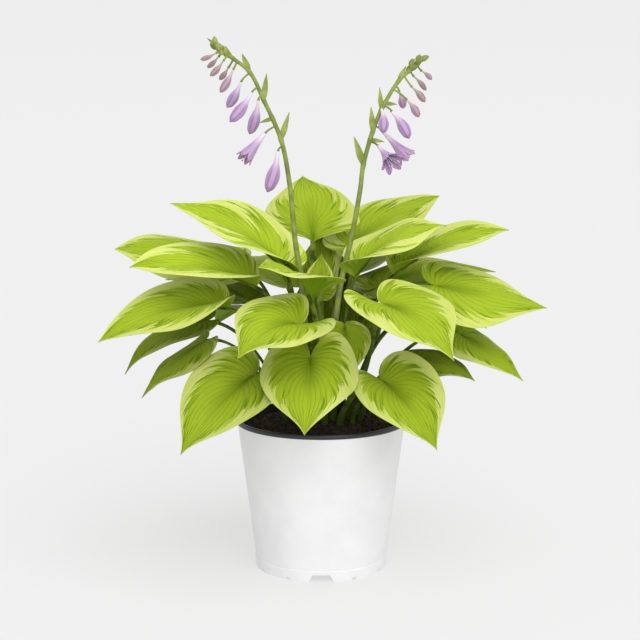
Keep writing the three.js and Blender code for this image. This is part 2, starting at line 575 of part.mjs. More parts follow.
// The stalk stands straight in its hole, curves out to the neck and runs on under the blade as its midrib
function stalkSolid(leaf, midrib) {
  const [x, y] = leaf.foot;
  const ground = soilHeight(x, y);
  const start = midrib.frame(0);
  const foot = new THREE.Vector3(x, y, ground + 2);
  const neck = midrib.point(0).addScaledVector(start.up, -STALK_SINK * STALK_NECK.depth);
  const span = neck.clone().sub(foot);
  const knee = leaf.knee
    ? new THREE.Vector3(...leaf.knee)
    : foot.clone().add(span.clone().multiply(STALK_LEAN));
  const path = new THREE.CubicBezierCurve3(
    foot,
    knee,
    neck.clone().addScaledVector(start.along, -leaf.bend * span.length()),
    neck,
  );
  const chord = new THREE.Vector3(...leaf.tip).sub(new THREE.Vector3(...leaf.neck));
  const level = new THREE.Vector3(chord.y, -chord.x, 0).normalize();
  const inward = level.clone().cross(new THREE.Vector3(0, 0, 1));
  const root = new THREE.Vector3(x, y, ground - ROOT_DEPTH);
  const rings = [stalkRing(root, level, inward, STALK_FOOT.halfWidth, STALK_FOOT.depth)];
  for (let i = 0; i <= STALK_STEPS; i += 1) {
    const u = i / STALK_STEPS;
    const along = i === 0 ? new THREE.Vector3(0, 0, 1) : path.getTangent(u);
    const right = level.clone().lerp(start.right, u);
    right.addScaledVector(along, -right.dot(along)).normalize();
    const up = right.clone().cross(along);
    rings.push(stalkRing(
      path.getPoint(u), right, up,
      mix(STALK_FOOT.halfWidth, STALK_NECK.halfWidth, u), mix(STALK_FOOT.depth, STALK_NECK.depth, u),
    ));
  }
  for (const [row, size] of STALK_RUN_ON) {
    const s = veinStart(row / BLADE_ROWS);
    const { right, up } = midrib.frame(s);
    const centre = midrib.point(s).addScaledVector(up, -STALK_SINK * STALK_NECK.depth * size);
    rings.push(stalkRing(centre, right, up, STALK_NECK.halfWidth * size, STALK_NECK.depth * size));
  }
  return solidOf(loft(rings));
}

function leafMesh(line) {
  const leaf = { ...LEAF, ...line };
  const midrib = midribOf(leaf);
  return meshOf(leaf.name, bladeSolid(leaf, midrib).add(stalkSolid(leaf, midrib)), LEAF_MATERIAL);
}

// A bract: a small lance-shaped leaf that clasps the stalk where a bud leaves it
function bractSolid(bract) {
  const from = new THREE.Vector3(...bract.from);
  const to = new THREE.Vector3(...bract.to);
  const along = to.clone().sub(from).normalize();
  const right = new THREE.Vector3(along.z, 0, -along.x).normalize();
  const up = right.clone().cross(along);
  const rings = [[0, 0.5], [0.35, 1], [0.7, 0.65], [1, 0.08]].map(([share, size]) => {
    const centre = from.clone().lerp(to, share);
    const half = bract.width / 2 * size;
    return [[1, 0.3], [0, 0.1], [-1, 0.3], [0, -0.5]].map(([a, b]) => (
      centre.clone().addScaledVector(right, a * half).addScaledVector(up, b * Math.max(half, 0.7))
    ));
  });
  return solidOf(loft(rings));
}

// The short stem from the stalk to a bloom's base
function pedicelSolid(bloom, stalk) {
  const base = new THREE.Vector3(...bloom.base);
  const towards = new THREE.Vector3(...bloom.tip).sub(base).normalize();
  const end = base.clone().addScaledVector(towards, -FIT_GAP);
  const above = base.clone().add(new THREE.Vector3(0, 0, 2));
  const near = stalk.getPoints(80).reduce((best, p) => (
    p.distanceTo(above) < best.distanceTo(above) ? p : best
  ));
  const bow = end.clone().addScaledVector(towards, -PEDICEL_DROP);
  const path = new THREE.QuadraticBezierCurve3(near, bow, end);
  return solidOf(tube(path, () => PEDICEL_RADIUS, PEDICEL_TUBE));
}

// A closed bud: a slender tube that swells and ends in a point. A profile lists shares of the length and of
// the radius.
const BUD_PROFILE = [[0, 0.22], [0.22, 0.36], [0.42, 0.76], [0.62, 1], [0.84, 0.8], [1, 0.08]];
const TOP_BUD_PROFILE = [[0, 0.5], [0.5, 1], [0.85, 0.6], [1, 0.1]];

function budSolid(base, tip, radius, profile, sides) {
  const along = tip.clone().sub(base);
  const right = new THREE.Vector3(1, 0, 0).addScaledVector(along, -along.x / along.lengthSq()).normalize();
  const up = right.clone().cross(along).normalize();
  const rings = profile.map(([share, size]) => {
    const centre = base.clone().addScaledVector(along, share);
    return Array.from({ length: sides }, (_, j) => {
      const angle = 2 * Math.PI * j / sides;
      return centre.clone()
        .addScaledVector(right, radius * size * Math.cos(angle))
        .addScaledVector(up, radius * size * Math.sin(angle));
    });
  });
  return solidOf(loft(rings));
}

// A flower: a tube that opens into six pointed petals, with its stamens inside. The higher its flare, the
// longer its tube stays narrow.
const FLARE = { bell: 1.1, flower: 1.9 };
const TUBE_RADIUS = 1.6;
const PETALS = 6;
const PETAL_THICKNESS = 0.7;
const STAMEN_RADIUS = 0.6;
const STAMEN_TUBE = { segments: 2, sides: 3 };

function flowerSolid(base, tip, radius, flare) {
  const length = tip.distanceTo(base);
  const rowsAlong = [0.3, 0.6, 0.8, 1];
  const sides = 2 * PETALS;
  const points = [new THREE.Vector3(0, 0, 0)];
  for (const u of rowsAlong) {
    for (let j = 0; j < sides; j += 1) {
      const onPetal = j % 2 === 0;
      const reach = onPetal ? u : Math.min(u, 0.7 + (u - 0.7) * 0.35);
      const angle = 2 * Math.PI * j / sides;
      const spread = TUBE_RADIUS + (radius - TUBE_RADIUS) * (reach ** flare) * (onPetal ? 1 : 0.92);
      points.push(new THREE.Vector3(
        spread * Math.cos(angle), spread * Math.sin(angle), length * (1 - (1 - reach) ** 1.15),
      ));
    }
  }
  const corners = [];
  for (let j = 0; j < sides; j += 1) {
    const k = (j + 1) % sides;
    corners.push(0, 1 + k, 1 + j);
    for (let i = 0; i + 1 < rowsAlong.length; i += 1) {
      const a = 1 + i * sides;
      corners.push(a + j, a + k, a + sides + k, a + j, a + sides + k, a + sides + j);
    }
  }
  const mouth = Array.from({ length: sides }, (_, j) => rowsAlong.length * sides - j);
  const petals = thicken(points, corners, mouth, PETAL_THICKNESS);
  const turn = new THREE.Quaternion().setFromUnitVectors(
    new THREE.Vector3(0, 0, 1), tip.clone().sub(base).normalize(),
  );
  const placed = (geometry) => geometry.applyQuaternion(turn).translate(base.x, base.y, base.z);
  let flower = solidOf(placed(petals));
  for (let k = 0; k < PETALS; k += 1) {
    flower = flower.add(solidOf(placed(stamenGeometry(k, length))));
  }
  return flower;
}

function stamenGeometry(k, length) {
  const angle = (k + 0.5) * 2 * Math.PI / PETALS;
  const across = new THREE.Vector3(Math.cos(angle), Math.sin(angle), 0);
  const path = new THREE.QuadraticBezierCurve3(
    new THREE.Vector3(0, 0, 0.2 * length).addScaledVector(across, 2),
    new THREE.Vector3(0, 0, 0.6 * length).addScaledVector(across, 1),
    new THREE.Vector3(0, 0, 0.98 * length).addScaledVector(across, 4.5),
  );
  return tube(path, () => STAMEN_RADIUS, STAMEN_TUBE);
}

function bloomMesh(bloom, name) {
  const base = new THREE.Vector3(...bloom.base);
  const tip = new THREE.Vector3(...bloom.tip);
  let solid;
  if (bloom.kind === 'bud') {
    solid = budSolid(base, tip, bloom.radius, BUD_PROFILE, BUD_SIDES);
  } else {
    solid = flowerSolid(base, tip, bloom.radius, FLARE[bloom.kind]);
  }
  return meshOf(name, solid, BLOOM_MATERIAL);
}

function scapeMeshes(scape) {
  const [[x, y], ...rest] = scape.route;
  const ground = soilHeight(x, y);
  const stalk = new THREE.CatmullRomCurve3([
    new THREE.Vector3(x, y, ground - ROOT_DEPTH),
    new THREE.Vector3(x, y, ground + 3),
    ...rest.map((p) => new THREE.Vector3(...p)),
  ]);
  let solid = solidOf(tube(stalk, (u) => mix(SCAPE_RADIUS.foot, SCAPE_RADIUS.tip, u), SCAPE_TUBE));
  scape.bracts.forEach((bract) => {
    solid = solid.add(bractSolid(bract));
  });
  scape.blooms.forEach((bloom) => {
    solid = solid.add(pedicelSolid(bloom, stalk));
  });
  const top = stalk.getPoint(1);
  const heading = stalk.getTangent(1);
  for (let k = 0; k < TOP_BUDS.count; k += 1) {
    const angle = k * TOP_BUDS.turn;
    const base = top.clone().addScaledVector(heading, -k * TOP_BUDS.climb);
    const out = new THREE.Vector3(Math.cos(angle), Math.sin(angle), 0.2).addScaledVector(heading, 1.5);
    const tip = base.clone().addScaledVector(out.normalize(), TOP_BUDS.length);
    solid = solid.add(budSolid(base, tip, TOP_BUDS.radius, TOP_BUD_PROFILE, TOP_BUD_SIDES));
  }
  const blooms = scape.blooms.map((bloom, i) => bloomMesh(bloom, `${scape.name}_bloom_${i + 1}`));
  return [meshOf(scape.name, solid, SCAPE_MATERIAL), ...blooms];
}

const plant = new THREE.Group();
plant.add(meshOf('pot', potSolid(), POT_MATERIAL));
plant.add(meshOf('soil', soilSolid(), SOIL_MATERIAL));
LEAVES.forEach((line) => plant.add(leafMesh(line)));
SCAPES.forEach((scape) => plant.add(...scapeMeshes(scape)));

export default plant;
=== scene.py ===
# %% [markdown]
# # A potted hosta, dressed
# The plain solids of the plant are already in the right places. This lesson gives each of them its
# finished surface: variegated leaves with sunken veins, two flower scapes, crumbly potting mix and a
# moulded pot. Every new surface is a grid of points worked out by a formula, so a leaf is a function of
# two numbers: how far along the leaf a point is, and how far out from the midrib.

import bpy
import numpy as np
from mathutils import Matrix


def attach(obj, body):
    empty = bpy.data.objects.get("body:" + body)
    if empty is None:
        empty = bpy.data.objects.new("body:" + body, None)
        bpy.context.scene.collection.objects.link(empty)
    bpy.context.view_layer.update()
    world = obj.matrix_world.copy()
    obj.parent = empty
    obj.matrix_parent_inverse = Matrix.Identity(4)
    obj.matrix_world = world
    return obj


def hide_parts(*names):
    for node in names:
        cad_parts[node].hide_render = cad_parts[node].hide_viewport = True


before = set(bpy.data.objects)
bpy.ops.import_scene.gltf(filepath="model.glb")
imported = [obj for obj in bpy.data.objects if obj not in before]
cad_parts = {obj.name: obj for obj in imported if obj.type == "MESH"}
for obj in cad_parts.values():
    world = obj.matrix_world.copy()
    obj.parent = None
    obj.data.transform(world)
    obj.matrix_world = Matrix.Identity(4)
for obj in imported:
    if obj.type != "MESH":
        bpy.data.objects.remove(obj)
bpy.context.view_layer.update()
MM = 0.001

# %% [markdown]
# ## From grids of points to meshes
# A grid of points becomes faces by joining each point to its neighbours. Points that fall on one
# another, at a pole or along a seam, are then welded, so every surface ends up closed. The volume's
# sign tells whether the faces point outwards, and they are turned if they don't.

# %% Join a grid into faces
WELD_DECIMALS = 3


def grid_faces(rows, columns, wrap_rows=False, wrap_columns=True):
    """Four corner numbers for each cell of a grid; a wrapped side joins its last line to its first."""
    i = np.arange(rows if wrap_rows else rows - 1)[:, None]
    j = np.arange(columns if wrap_columns else columns - 1)[None, :]
    below, beside = (i + 1) % rows, (j + 1) % columns
    corners = [i * columns + j, i * columns + beside, below * columns + beside, below * columns + j]
    return np.stack(np.broadcast_arrays(*corners), -1).reshape(-1, 4)


def weld(points, faces):
    """Points that agree to a thousandth of a millimetre become one; also tells which points stay."""
    rounded_off = np.round(points, WELD_DECIMALS)
    _, first, place = np.unique(rounded_off, axis=0, return_index=True, return_inverse=True)
    return points[first], place.reshape(-1)[faces], first


def signed_volume(points, faces):
    """A sixth of the sum of corner a dot (corner b cross corner c) over the triangles of a closed skin."""
    a, b, c, d = (points[faces[:, k]] for k in range(4))
    return (a * (np.cross(b, c) + np.cross(c, d))).sum() / 6


class Skin:
    """A closed surface: its points in millimetres, its faces, values such as 'along', and its finishes."""

    def __init__(self, points, faces, values, finish):
        self.points, self.faces, self.values = points, faces, values
        self.finish = np.broadcast_to(finish, len(faces))


def grid_skin(grid, wrap_rows=False, wrap_columns=True, finish=0, **values):
    """A closed surface from a grid; finish is a material's number, or one for each column of faces."""
    rows, columns = grid.shape[:2]
    faces = grid_faces(rows, columns, wrap_rows, wrap_columns)
    cells = (rows if wrap_rows else rows - 1, columns if wrap_columns else columns - 1)
    finish = np.broadcast_to(finish, cells).reshape(-1)
    points, faces, kept = weld(grid.reshape(-1, 3), faces)
    spread = {key: np.broadcast_to(value, (rows, columns)) for key, value in values.items()}
    values = {key: value.reshape(-1)[kept] for key, value in spread.items()}
    if signed_volume(points, faces) < 0:
        faces = faces[:, ::-1]
    return Skin(points, faces, values, finish)


# %% Put skins into a mesh that stands for a plain solid
def face_list(faces, finishes):
    """Corner lists, without a pole's repeated corners and without faces shrunk to a line."""
    same = faces == np.roll(faces, 1, axis=1)
    whole, pole = same.sum(1) == 0, same.sum(1) == 1
    triangles = faces[pole][~same[pole]].reshape(-1, 3)
    return faces[whole].tolist() + triangles.tolist(), np.concatenate([finishes[whole], finishes[pole]])


def add_object(name, data):
    """A mesh, a light or a camera, put into the scene."""
    item = bpy.data.objects.new(name, data)
    bpy.context.collection.objects.link(item)
    return item


def add_piece(name, skins, finishes, node=None, sharp=60.0):
    """One object from several skins; edges sharper than the given angle stay crisp."""
    mesh = bpy.data.meshes.new(name)
    corners, owners, start = [], [], 0
    for skin in skins:
        part, looks = face_list(skin.faces + start, skin.finish)
        corners += part
        owners.append(looks)
        start += len(skin.points)
    points = np.concatenate([skin.points for skin in skins]) * MM
    mesh.from_pydata(points, [], corners)
    for material in finishes:
        mesh.materials.append(material)
    mesh.polygons.foreach_set("material_index", np.concatenate(owners).astype(np.int32))
    mesh.polygons.foreach_set("use_smooth", np.ones(len(corners), bool))
    mesh.set_sharp_from_angle(angle=np.radians(sharp))
    for key in sorted({key for skin in skins for key in skin.values}):
        numbers = [skin.values.get(key, np.zeros(len(skin.points))) for skin in skins]
        attribute = mesh.attributes.new(key, "FLOAT", "POINT")
        attribute.data.foreach_set("value", np.concatenate(numbers).astype(np.float32))
    mesh.update()
    piece = add_object(name, mesh)
    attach(piece, "root")
    if node:
        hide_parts(node)
    return piece


# %% [markdown]
# ## Vectors, curves and smooth noise
# The stalks follow Bezier curves and the scapes follow a smooth curve through chosen points. Whatever
# runs along a path is a loop of points carried along it. Noise is made from a seeded table of numbers,
# blended smoothly between its entries, so it is the same in every run.

# %% Small tools for vectors
def unit(vectors):
    """Each vector divided by its own length."""
    return vectors / np.maximum(np.linalg.norm(vectors, axis=-1, keepdims=True), 1e-9)


def mix(a, b, share):
    """a at share 0, b at share 1, in a straight line between."""
    return a + (b - a) * share


def smooth(low, high, x):
    """An S-shaped step 3x^2 - 2x^3 from 0 at low to 1 at high; low may be the larger of the two."""
    x = np.clip((x - low) / (high - low), 0, 1)
    return x * x * (3 - 2 * x)


def turn_about(vectors, axes, angle):
    """Rodrigues' formula: v cos + (axis x v) sin + axis (axis . v)(1 - cos)."""
    cos, sin = np.cos(angle), np.sin(angle)
    along = (vectors * axes).sum(-1, keepdims=True)
    return vectors * cos + np.cross(axes, vectors) * sin + axes * along * (1 - cos)


def bezier(points, u):
    """The cubic (or, with three points, quadratic) Bezier curve and its direction at each u."""
    points = np.asarray(points, float)
    u = np.asarray(u, float)[..., None]
    if len(points) == 3:
        a, b, c = points
        return (1 - u) ** 2 * a + 2 * (1 - u) * u * b + u * u * c, unit((1 - u) * (b - a) + u * (c - b))
    a, b, c, d = points
    place = (1 - u) ** 3 * a + 3 * (1 - u) ** 2 * u * b + 3 * (1 - u) * u * u * c + u ** 3 * d
    way = (1 - u) ** 2 * (b - a) + 2 * (1 - u) * u * (c - b) + u * u * (d - c)
    return place, unit(way + 1e-9)


# %% Loops along a path
def loops_about(path, right, up, a, b):
    """A loop of points round each point of a path, at path + a right + b up."""
    right, up = (np.broadcast_to(way, path.shape)[:, None] for way in (right, up))
    return path[:, None] + right * a[..., None] + up * b[..., None]


def closed_ends(loops):
    """The loops with one more at each end, shrunk to its middle point."""
    ends = (loops[:1], loops[-1:])
    first, last = (np.broadcast_to(end.mean(1, keepdims=True), end.shape) for end in ends)
    return np.concatenate([first, loops, last])


def round_angles(count):
    """Angles evenly spaced round a full turn."""
    return np.linspace(0, 2 * np.pi, count, endpoint=False)


# %% Seeded noise
TABLE_SIZE, STRIDES = 4096, (1, 57, 3191)


def noise(seed, *coordinates):
    """Random numbers from 0 to 1 at whole numbers, blended smoothly between, for 1 to 3 coordinates."""
    table = np.random.default_rng(seed).random(TABLE_SIZE)
    cells = [np.floor(c).astype(np.int64) for c in coordinates]
    shares = [smooth(0, 1, c - cell) for c, cell in zip(coordinates, cells)]
    total = 0.0
    for corner in np.ndindex(*(2,) * len(cells)):
        key = sum((cell + step) * stride for cell, step, stride in zip(cells, corner, STRIDES))
        weight = np.prod([s if step else 1 - s for s, step in zip(shares, corner)], axis=0)
        total = total + table[key % TABLE_SIZE] * weight
    return total


# %% [markdown]
# ## Shader helpers
# Every finish here is made of the same few kinds of node. A node's output is wrapped in a small class
# that answers to + - and *, so a pattern reads like the sum it is, and each sign places one maths node.
# Fine mottling, which most finishes need, is a node group that only puts out values; the Principled
# shader stays in each material.

# %% Place and wire shader nodes
class Value:
    """A node's output that can be reckoned with: each + - or * places the maths node that works it out."""

    def __init__(self, socket):
        self.socket = socket

    def maths(self, operation, *others):
        """The maths node of that name, with this value first."""
        sockets = dict(enumerate((self, *others)))
        return node_in(self.socket.id_data, "ShaderNodeMath", sockets, operation=operation)

    def __add__(self, other):
        return self.maths("ADD", other)

    def __sub__(self, other):
        return self.maths("SUBTRACT", other)

    def __mul__(self, other):
        return self.maths("MULTIPLY", other)

    def step(self, low, high, to_low=0.0, to_high=1.0):
        """An S-shaped step, as the numpy function smooth makes it, from to_low to to_high."""
        sockets = {0: self, 1: low, 2: high, 3: to_low, 4: to_high}
        return node_in(self.socket.id_data, "ShaderNodeMapRange", sockets, interpolation_type="SMOOTHSTEP")


def node_in(tree, kind, inputs=None, output=0, **settings):
    """A new node with its settings; each input is a number or another node's Value. Gives one output."""
    node = tree.nodes.new(kind)
    for key, setting in settings.items():
        setattr(node, key, setting)
    for key, value in (inputs or {}).items():
        if isinstance(value, Value):
            tree.links.new(value.socket, node.inputs[key])
        else:
            node.inputs[key].default_value = value
    return Value(node.outputs[output])


def blend(share, a, b, how="MIX"):
    """Colour a at share 0 and colour b at share 1; a colour is three numbers or a Value."""
    a, b = (colour if isinstance(colour, Value) else (*colour, 1.0) for colour in (a, b))
    tree = next(v.socket.id_data for v in (share, a, b) if isinstance(v, Value))
    sockets = {"Factor": share, 6: a, 7: b}
    return node_in(tree, "ShaderNodeMix", sockets, 2, data_type="RGBA", blend_type=how)


def noise_in(tree, at, scale, detail):
    """Smooth noise at a place, finer the larger the scale is."""
    return node_in(tree, "ShaderNodeTexNoise", {"Vector": at, "Scale": scale, "Detail": detail})


def attributes(tree, *names):
    """The numbers that the mesh's points carry under these names."""
    return [node_in(tree, "ShaderNodeAttribute", output="Fac", attribute_name=name) for name in names]


def object_coords(tree):
    """The place in metres, as the object has it."""
    return node_in(tree, "ShaderNodeTexCoord", output="Object")


def new_finish(name, **constants):
    """A material with a Principled shader; returns the material, its tree and the shader."""
    material = bpy.data.materials.new(name)
    material.use_nodes = True
    shader = material.node_tree.nodes["Principled BSDF"]
    for key, value in constants.items():
        shader.inputs[key.replace("_", " ")].default_value = value
    return material, material.node_tree, shader


def wire(tree, shader, **values):
    """Each Value goes to the shader's socket of that name."""
    for key, value in values.items():
        tree.links.new(value.socket, shader.inputs[key.replace("_", " ")])


def raise_surface(tree, shader, height, distance, strength=1.0):
    """Bump from a height that is 0 to 1, for a relief of the given depth in metres."""
    sockets = {"Height": height, "Distance": distance, "Strength": strength}
    wire(tree, shader, Normal=node_in(tree, "ShaderNodeBump", sockets))


# %% A mottling group for leaves, stalks and petals
def mottling_group():
    """Two sizes of smooth noise on object coordinates: broad patches and fine cells."""
    group = bpy.data.node_groups.new("living_mottle", "ShaderNodeTree")
    pairs = (("Patch size", "Patches", 2.0), ("Cell size", "Cells", 1.0))
    for size, result, _ in pairs:
        group.interface.new_socket(size, in_out="INPUT", socket_type="NodeSocketFloat")
        group.interface.new_socket(result, in_out="OUTPUT", socket_type="NodeSocketFloat")
    inside = group.nodes.new("NodeGroupInput")
    outside = group.nodes.new("NodeGroupOutput")
    at = object_coords(group)
    for size, result, detail in pairs:
        sockets = {0: 1.0, 1: Value(inside.outputs[size])}
        scale = node_in(group, "ShaderNodeMath", sockets, operation="DIVIDE")
        group.links.new(noise_in(group, at, scale, detail).socket, outside.inputs[result])
    return group


MOTTLE = mottling_group()


def mottle(tree, patch, cell):
    """The group in a material, with sizes in metres; returns its patches and its cells."""
    sizes = {"Patch size": patch, "Cell size": cell}
    patches = node_in(tree, "ShaderNodeGroup", sizes, "Patches", node_tree=MOTTLE)
    return patches, Value(patches.socket.node.outputs["Cells"])


# %% [markdown]
# ## The leaf's finish
# A hosta's leaf is green in the middle and pale along its margin, and the two meet in feathery tongues
# that follow the veins. So the pattern can't be painted by place alone: the leaf's points carry how
# far along they are, how far across, and which vein they lie beside. The shader stretches its noise
# along the veins, by reading a mixture of the first two finely and the distance across coarsely. The
# points also carry which side they are on, and the leaf's own numbers: its tone, its splash of pale
# margin and its brightness, which is the random tone less the leaf's painted shade. The colour also
# holds painted shade: a darker green towards the neck, in the sunken vein grooves and on the underside.

# %% The leaf colours, as light values from 0 to 1
LEAF_GREEN = (0.355, 0.480, 0.024)
# The deep green is painted shade towards the neck and in the vein grooves, and also the real dark strokes
# at the margin's border.
LEAF_DEEP_AND_SHADE = (0.135, 0.230, 0.005)
LEAF_MID = (0.525, 0.640, 0.060)
MARGIN_PALE = (0.610, 0.665, 0.195)
MARGIN_LIME = (0.510, 0.610, 0.095)
# The underside's green is painted shade: it is darker than the top, as the underside looks in shade.
UNDERSIDE_SHADED_GREEN = (0.205, 0.310, 0.010)
STALK_GREEN = (0.180, 0.245, 0.028)
# The stalk's dark green makes its real darker mottling and also the painted shade towards the soil.
STALK_MOTTLE_AND_SHADE = (0.038, 0.066, 0.008)


def leaf_finish():
    """Green centre, streaked border and pale margin, divided by noise stretched along the veins, and a
    plainer underside painted darker as shade. Painted shade also darkens the blade towards the neck and
    in the vein grooves. All of it is multiplied by the leaf's brightness, its random tone less its
    painted shade."""
    material, tree, shader = new_finish("leaf_blade", IOR=1.42, Specular_IOR_Level=0.07)
    along, across, vein, under, tone, splash, light = attributes(
        tree, "along", "across", "vein", "under", "tone", "splash", "light")
    out = across.maths("ABSOLUTE")
    seed = tone * 31.0 + across.maths("SIGN") * 9.0

    def streaks(finely, coarsely, shift, lines):
        """Noise that changes quickly across the lines and slowly along them."""
        place = {0: lines * finely, 1: out * coarsely, 2: seed + shift}
        return noise_in(tree, node_in(tree, "ShaderNodeCombineXYZ", place), 1.0, 2.0)

    slant = out * -0.62 + along
    steep = out * -0.85 + along
    edge = (streaks(3.5, 0.5, 0.0, slant) - 0.5) * 0.55 + 0.75
    edge = (streaks(21.0, 1.0, 3.0, slant) - 0.5) * 0.8 + edge
    edge = (streaks(60.0, 2.0, 4.0, steep) - 0.5) * 0.32 + edge
    edge = (streaks(11.0, 0.9, 20.0, slant) - 0.58) * splash * 1.7 + edge
    past_edge = out - (edge + along.step(0.0, 0.6, 0.27, 0.0))
    margin = past_edge.step(-0.012, 0.03)

    patches, cells = mottle(tree, 0.03, 0.0012)
    # Painted shade: the green darkens towards the neck, where the crown shades the blade; the broad
    # patches are real mottling.
    neck_shade_and_mottle = (along * 0.7 + out).step(0.05, 0.6) + (patches - 0.5) * 0.75
    green = blend(neck_shade_and_mottle * 0.75 + 0.27, LEAF_DEEP_AND_SHADE, LEAF_GREEN)
    flecks = streaks(55.0, 1.5, 8.0, steep).step(0.42, 0.62)
    green = blend(past_edge.step(-0.24, 0.0) * flecks * 0.7, green, LEAF_MID)
    border = past_edge.step(-0.34, -0.06) * past_edge.step(-0.02, 0.02, 1.0, 0.0)
    strokes = streaks(34.0, 1.2, 12.0, slant).step(0.46, 0.58)
    green = blend(border * strokes * 0.85, green, LEAF_DEEP_AND_SHADE)

    inner = out.step(0.02, 0.12) * out.step(0.55, 0.95, 1.0, 0.0)
    # Painted shade in the sunken vein grooves: darker lines, stronger or weaker by noise.
    groove = (vein.maths("FRACT") - 0.5).maths("ABSOLUTE").step(0.37, 0.5) * inner
    faint = groove * streaks(2.5, 3.0, 15.0, vein).step(0.35, 0.65, 0.12, 0.45)
    green = blend(faint, green, LEAF_DEEP_AND_SHADE)
    green = blend(out.step(0.0, 0.035, 1.0, 0.0) * 0.2, green, LEAF_MID)

    pale = blend(streaks(30.0, 1.5, 6.0, steep).step(0.38, 0.68), MARGIN_PALE, MARGIN_LIME)
    below = blend(margin * 0.3, UNDERSIDE_SHADED_GREEN, MARGIN_LIME)
    # Painted shade in the vein grooves on the underside as well.
    below = blend(groove * 0.4, below, LEAF_DEEP_AND_SHADE)
    colour = blend(under, blend(margin, green, pale), below)
    # Painted shade: the colour is multiplied by the leaf's brightness, its random tone less the painted
    # shade from the leaf table.
    tone_and_painted_shade = node_in(tree, "ShaderNodeCombineXYZ", dict.fromkeys(range(3), light))
    wire(tree, shader, Base_Color=blend(1.0, colour, tone_and_painted_shade, "MULTIPLY"),
         Roughness=under * 0.18 + (cells * 0.12 + 0.36))
    raise_surface(tree, shader, groove * -0.5 + streaks(26.0, 9.0, 2.0, vein) * 0.3, 0.0006, 0.8)
    return material


def stalk_finish():
    """Green with darker mottling and a fine grain, and painted shade that darkens it down to the soil."""
    material, tree, shader = new_finish("leaf_stalk", Roughness=0.6, Specular_IOR_Level=0.06)
    patches, cells = mottle(tree, 0.008, 0.0008)
    along, = attributes(tree, "along")
    colour = blend(patches.step(0.3, 0.7), STALK_MOTTLE_AND_SHADE, STALK_GREEN)
    # Painted shade: darker from the neck down to the soil, under the leaves.
    wire(tree, shader, Base_Color=blend(along.step(0.0, 1.05, 0.9, 0.0), colour, STALK_MOTTLE_AND_SHADE))
    raise_surface(tree, shader, cells, 0.0003, 0.4)
    return material


LEAF_FINISH = leaf_finish()
STALK_FINISH = stalk_finish()
print("leaf finishes:", LEAF_FINISH.name, STALK_FINISH.name)
